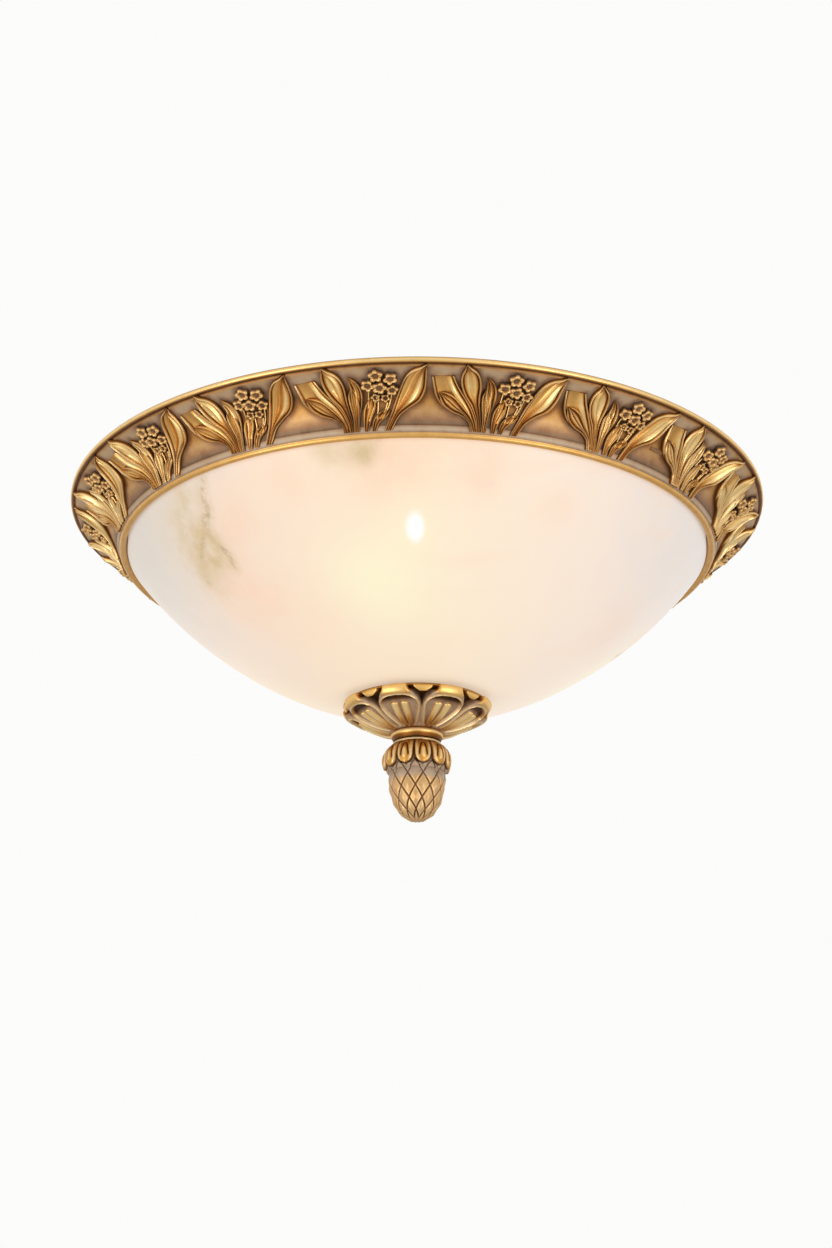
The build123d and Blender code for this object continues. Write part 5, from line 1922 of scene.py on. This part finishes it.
@dataclass
class Studio:
    """Floor, world, lamps and camera."""

    elevation: float = 20.49
    distance: float = 1.5
    aim_height: float = -0.09
    lens: float = 60.447
    shift: Point = (-0.0008, 0.00705)
    floor_height: float = -2.4
    floor_reach: float = 8.0
    background: Colour = (0.97, 0.97, 0.965)
    ambient: float = 0.62
    softboxes: tuple[Softbox, ...] = (
        Softbox("key", (-1.8, -1.6, -1.4), (1.1, 1.1), 25.0),
        Softbox("fill", (1.5, -1.6, -1.2), (1.2, 1.2), 18.5),
        Softbox("rim", (0.3, 1.9, 0.9), (1.4, 0.7), 16.0),
    )

    def make_world(self) -> None:
        """A pale room: camera, gloss and glass see the background, the rest gets the plain level."""
        world = bpy.data.worlds.new("studio_world")
        bpy.context.scene.world = world
        world.use_nodes = True
        g = Tree(world.node_tree)
        path = g.add("ShaderNodeLightPath").outputs
        seen = g.maths("MAXIMUM", path["Is Camera Ray"], path["Is Glossy Ray"])
        seen = g.maths("MAXIMUM", seen, path["Is Transmission Ray"])
        plain = g.add("ShaderNodeBackground", {"Color": self.background, "Strength": self.ambient})
        shown = g.add("ShaderNodeBackground", {"Color": self.background})
        mix = g.add("ShaderNodeMixShader", {0: seen, 1: plain.outputs[0], 2: shown.outputs[0]})
        g.add("ShaderNodeOutputWorld", {0: mix.outputs[0]})

    def make_floor(self) -> Piece:
        """The floor of the room, far below the light."""
        mesh = bpy.data.meshes.new("floor")
        reach = self.floor_reach
        corners = [(-reach, -reach), (reach, -reach), (reach, reach), (-reach, reach)]
        mesh.from_pydata([(x, y, self.floor_height) for x, y in corners], [], [(0, 1, 2, 3)])
        floor = bpy.data.objects.new("floor", mesh)
        bpy.context.scene.collection.objects.link(floor)
        g = Graph("pale_floor")
        speckle = g.noise(6.0, 3.0)
        mesh.materials.append(
            g.finish(Base_Color=g.ramp(speckle, ((0.0, (0.78,) * 3), (1.0, (0.82,) * 3))), Roughness=0.9)
        )
        return floor

    def make_lamps(self) -> None:
        """The soft boxes."""
        for box in self.softboxes:
            data = bpy.data.lights.new(box.name, "AREA")
            data.shape = "RECTANGLE"
            data.size, data.size_y = box.size
            data.energy = box.power
            lamp = bpy.data.objects.new(box.name, data)
            lamp.location = box.place
            lamp.rotation_euler = (Vector(box.target) - Vector(box.place)).to_track_quat("-Z", "Y").to_euler()
            bpy.context.scene.collection.objects.link(lamp)

    def make_camera(self) -> None:
        """The camera at the photograph's angle, looking up from below."""
        data = bpy.data.cameras.new("camera")
        data.sensor_fit = "VERTICAL"
        data.sensor_width, data.sensor_height = 24.0, 36.0
        data.lens = self.lens
        data.shift_x, data.shift_y = self.shift
        camera = bpy.data.objects.new("camera", data)
        tilt = math.radians(self.elevation)
        camera.location = (0, -self.distance * math.cos(tilt), self.aim_height - self.distance * math.sin(tilt))
        camera.rotation_euler = (math.pi / 2 + tilt, 0, 0)
        bpy.context.scene.collection.objects.link(camera)
        bpy.context.scene.camera = camera

    def make(self) -> None:
        """Builds the whole studio."""
        self.make_world()
        self.make_floor()
        self.make_lamps()
        self.make_camera()
        bpy.context.scene.view_settings.view_transform = "Standard"


def main() -> None:
    """Builds the studio and every sub-assembly, and reports each piece."""
    logging.basicConfig(level=logging.INFO, format="%(name)s: %(message)s")
    Studio().make()
    finishes = {kind.value.name: kind.value.build() for kind in CadFinish}
    for lead in HolderLeads().make(finishes["lead_sheath"]):
        LOG.info("%s: %d points", lead.name, len(lead.data.splines[0].points))
    copies = PolarCopies()
    brass = CastBrass("cast_brass").build()
    made = TrimRing().make(brass, copies)
    made += [AlabasterBowl().make(Alabaster().build()), Rosette().make(brass), Collar().make(brass)]
    made.append(AcornFinial().make(brass))
    for number in (1, 2, 3):
        made += Lamp(number, 120.0 * number - 210.0).make(finishes)
    made.append(ThreadedRod().make(finishes["zinc_steel"]))
    made.append(CrossScrews().make(finishes["zinc_steel"], copies))
    for piece in made:
        LOG.info("%s: %d faces", piece.name, len(piece.data.polygons))
    dress_cad_parts(finishes)


if __name__ == "__main__":
    main()
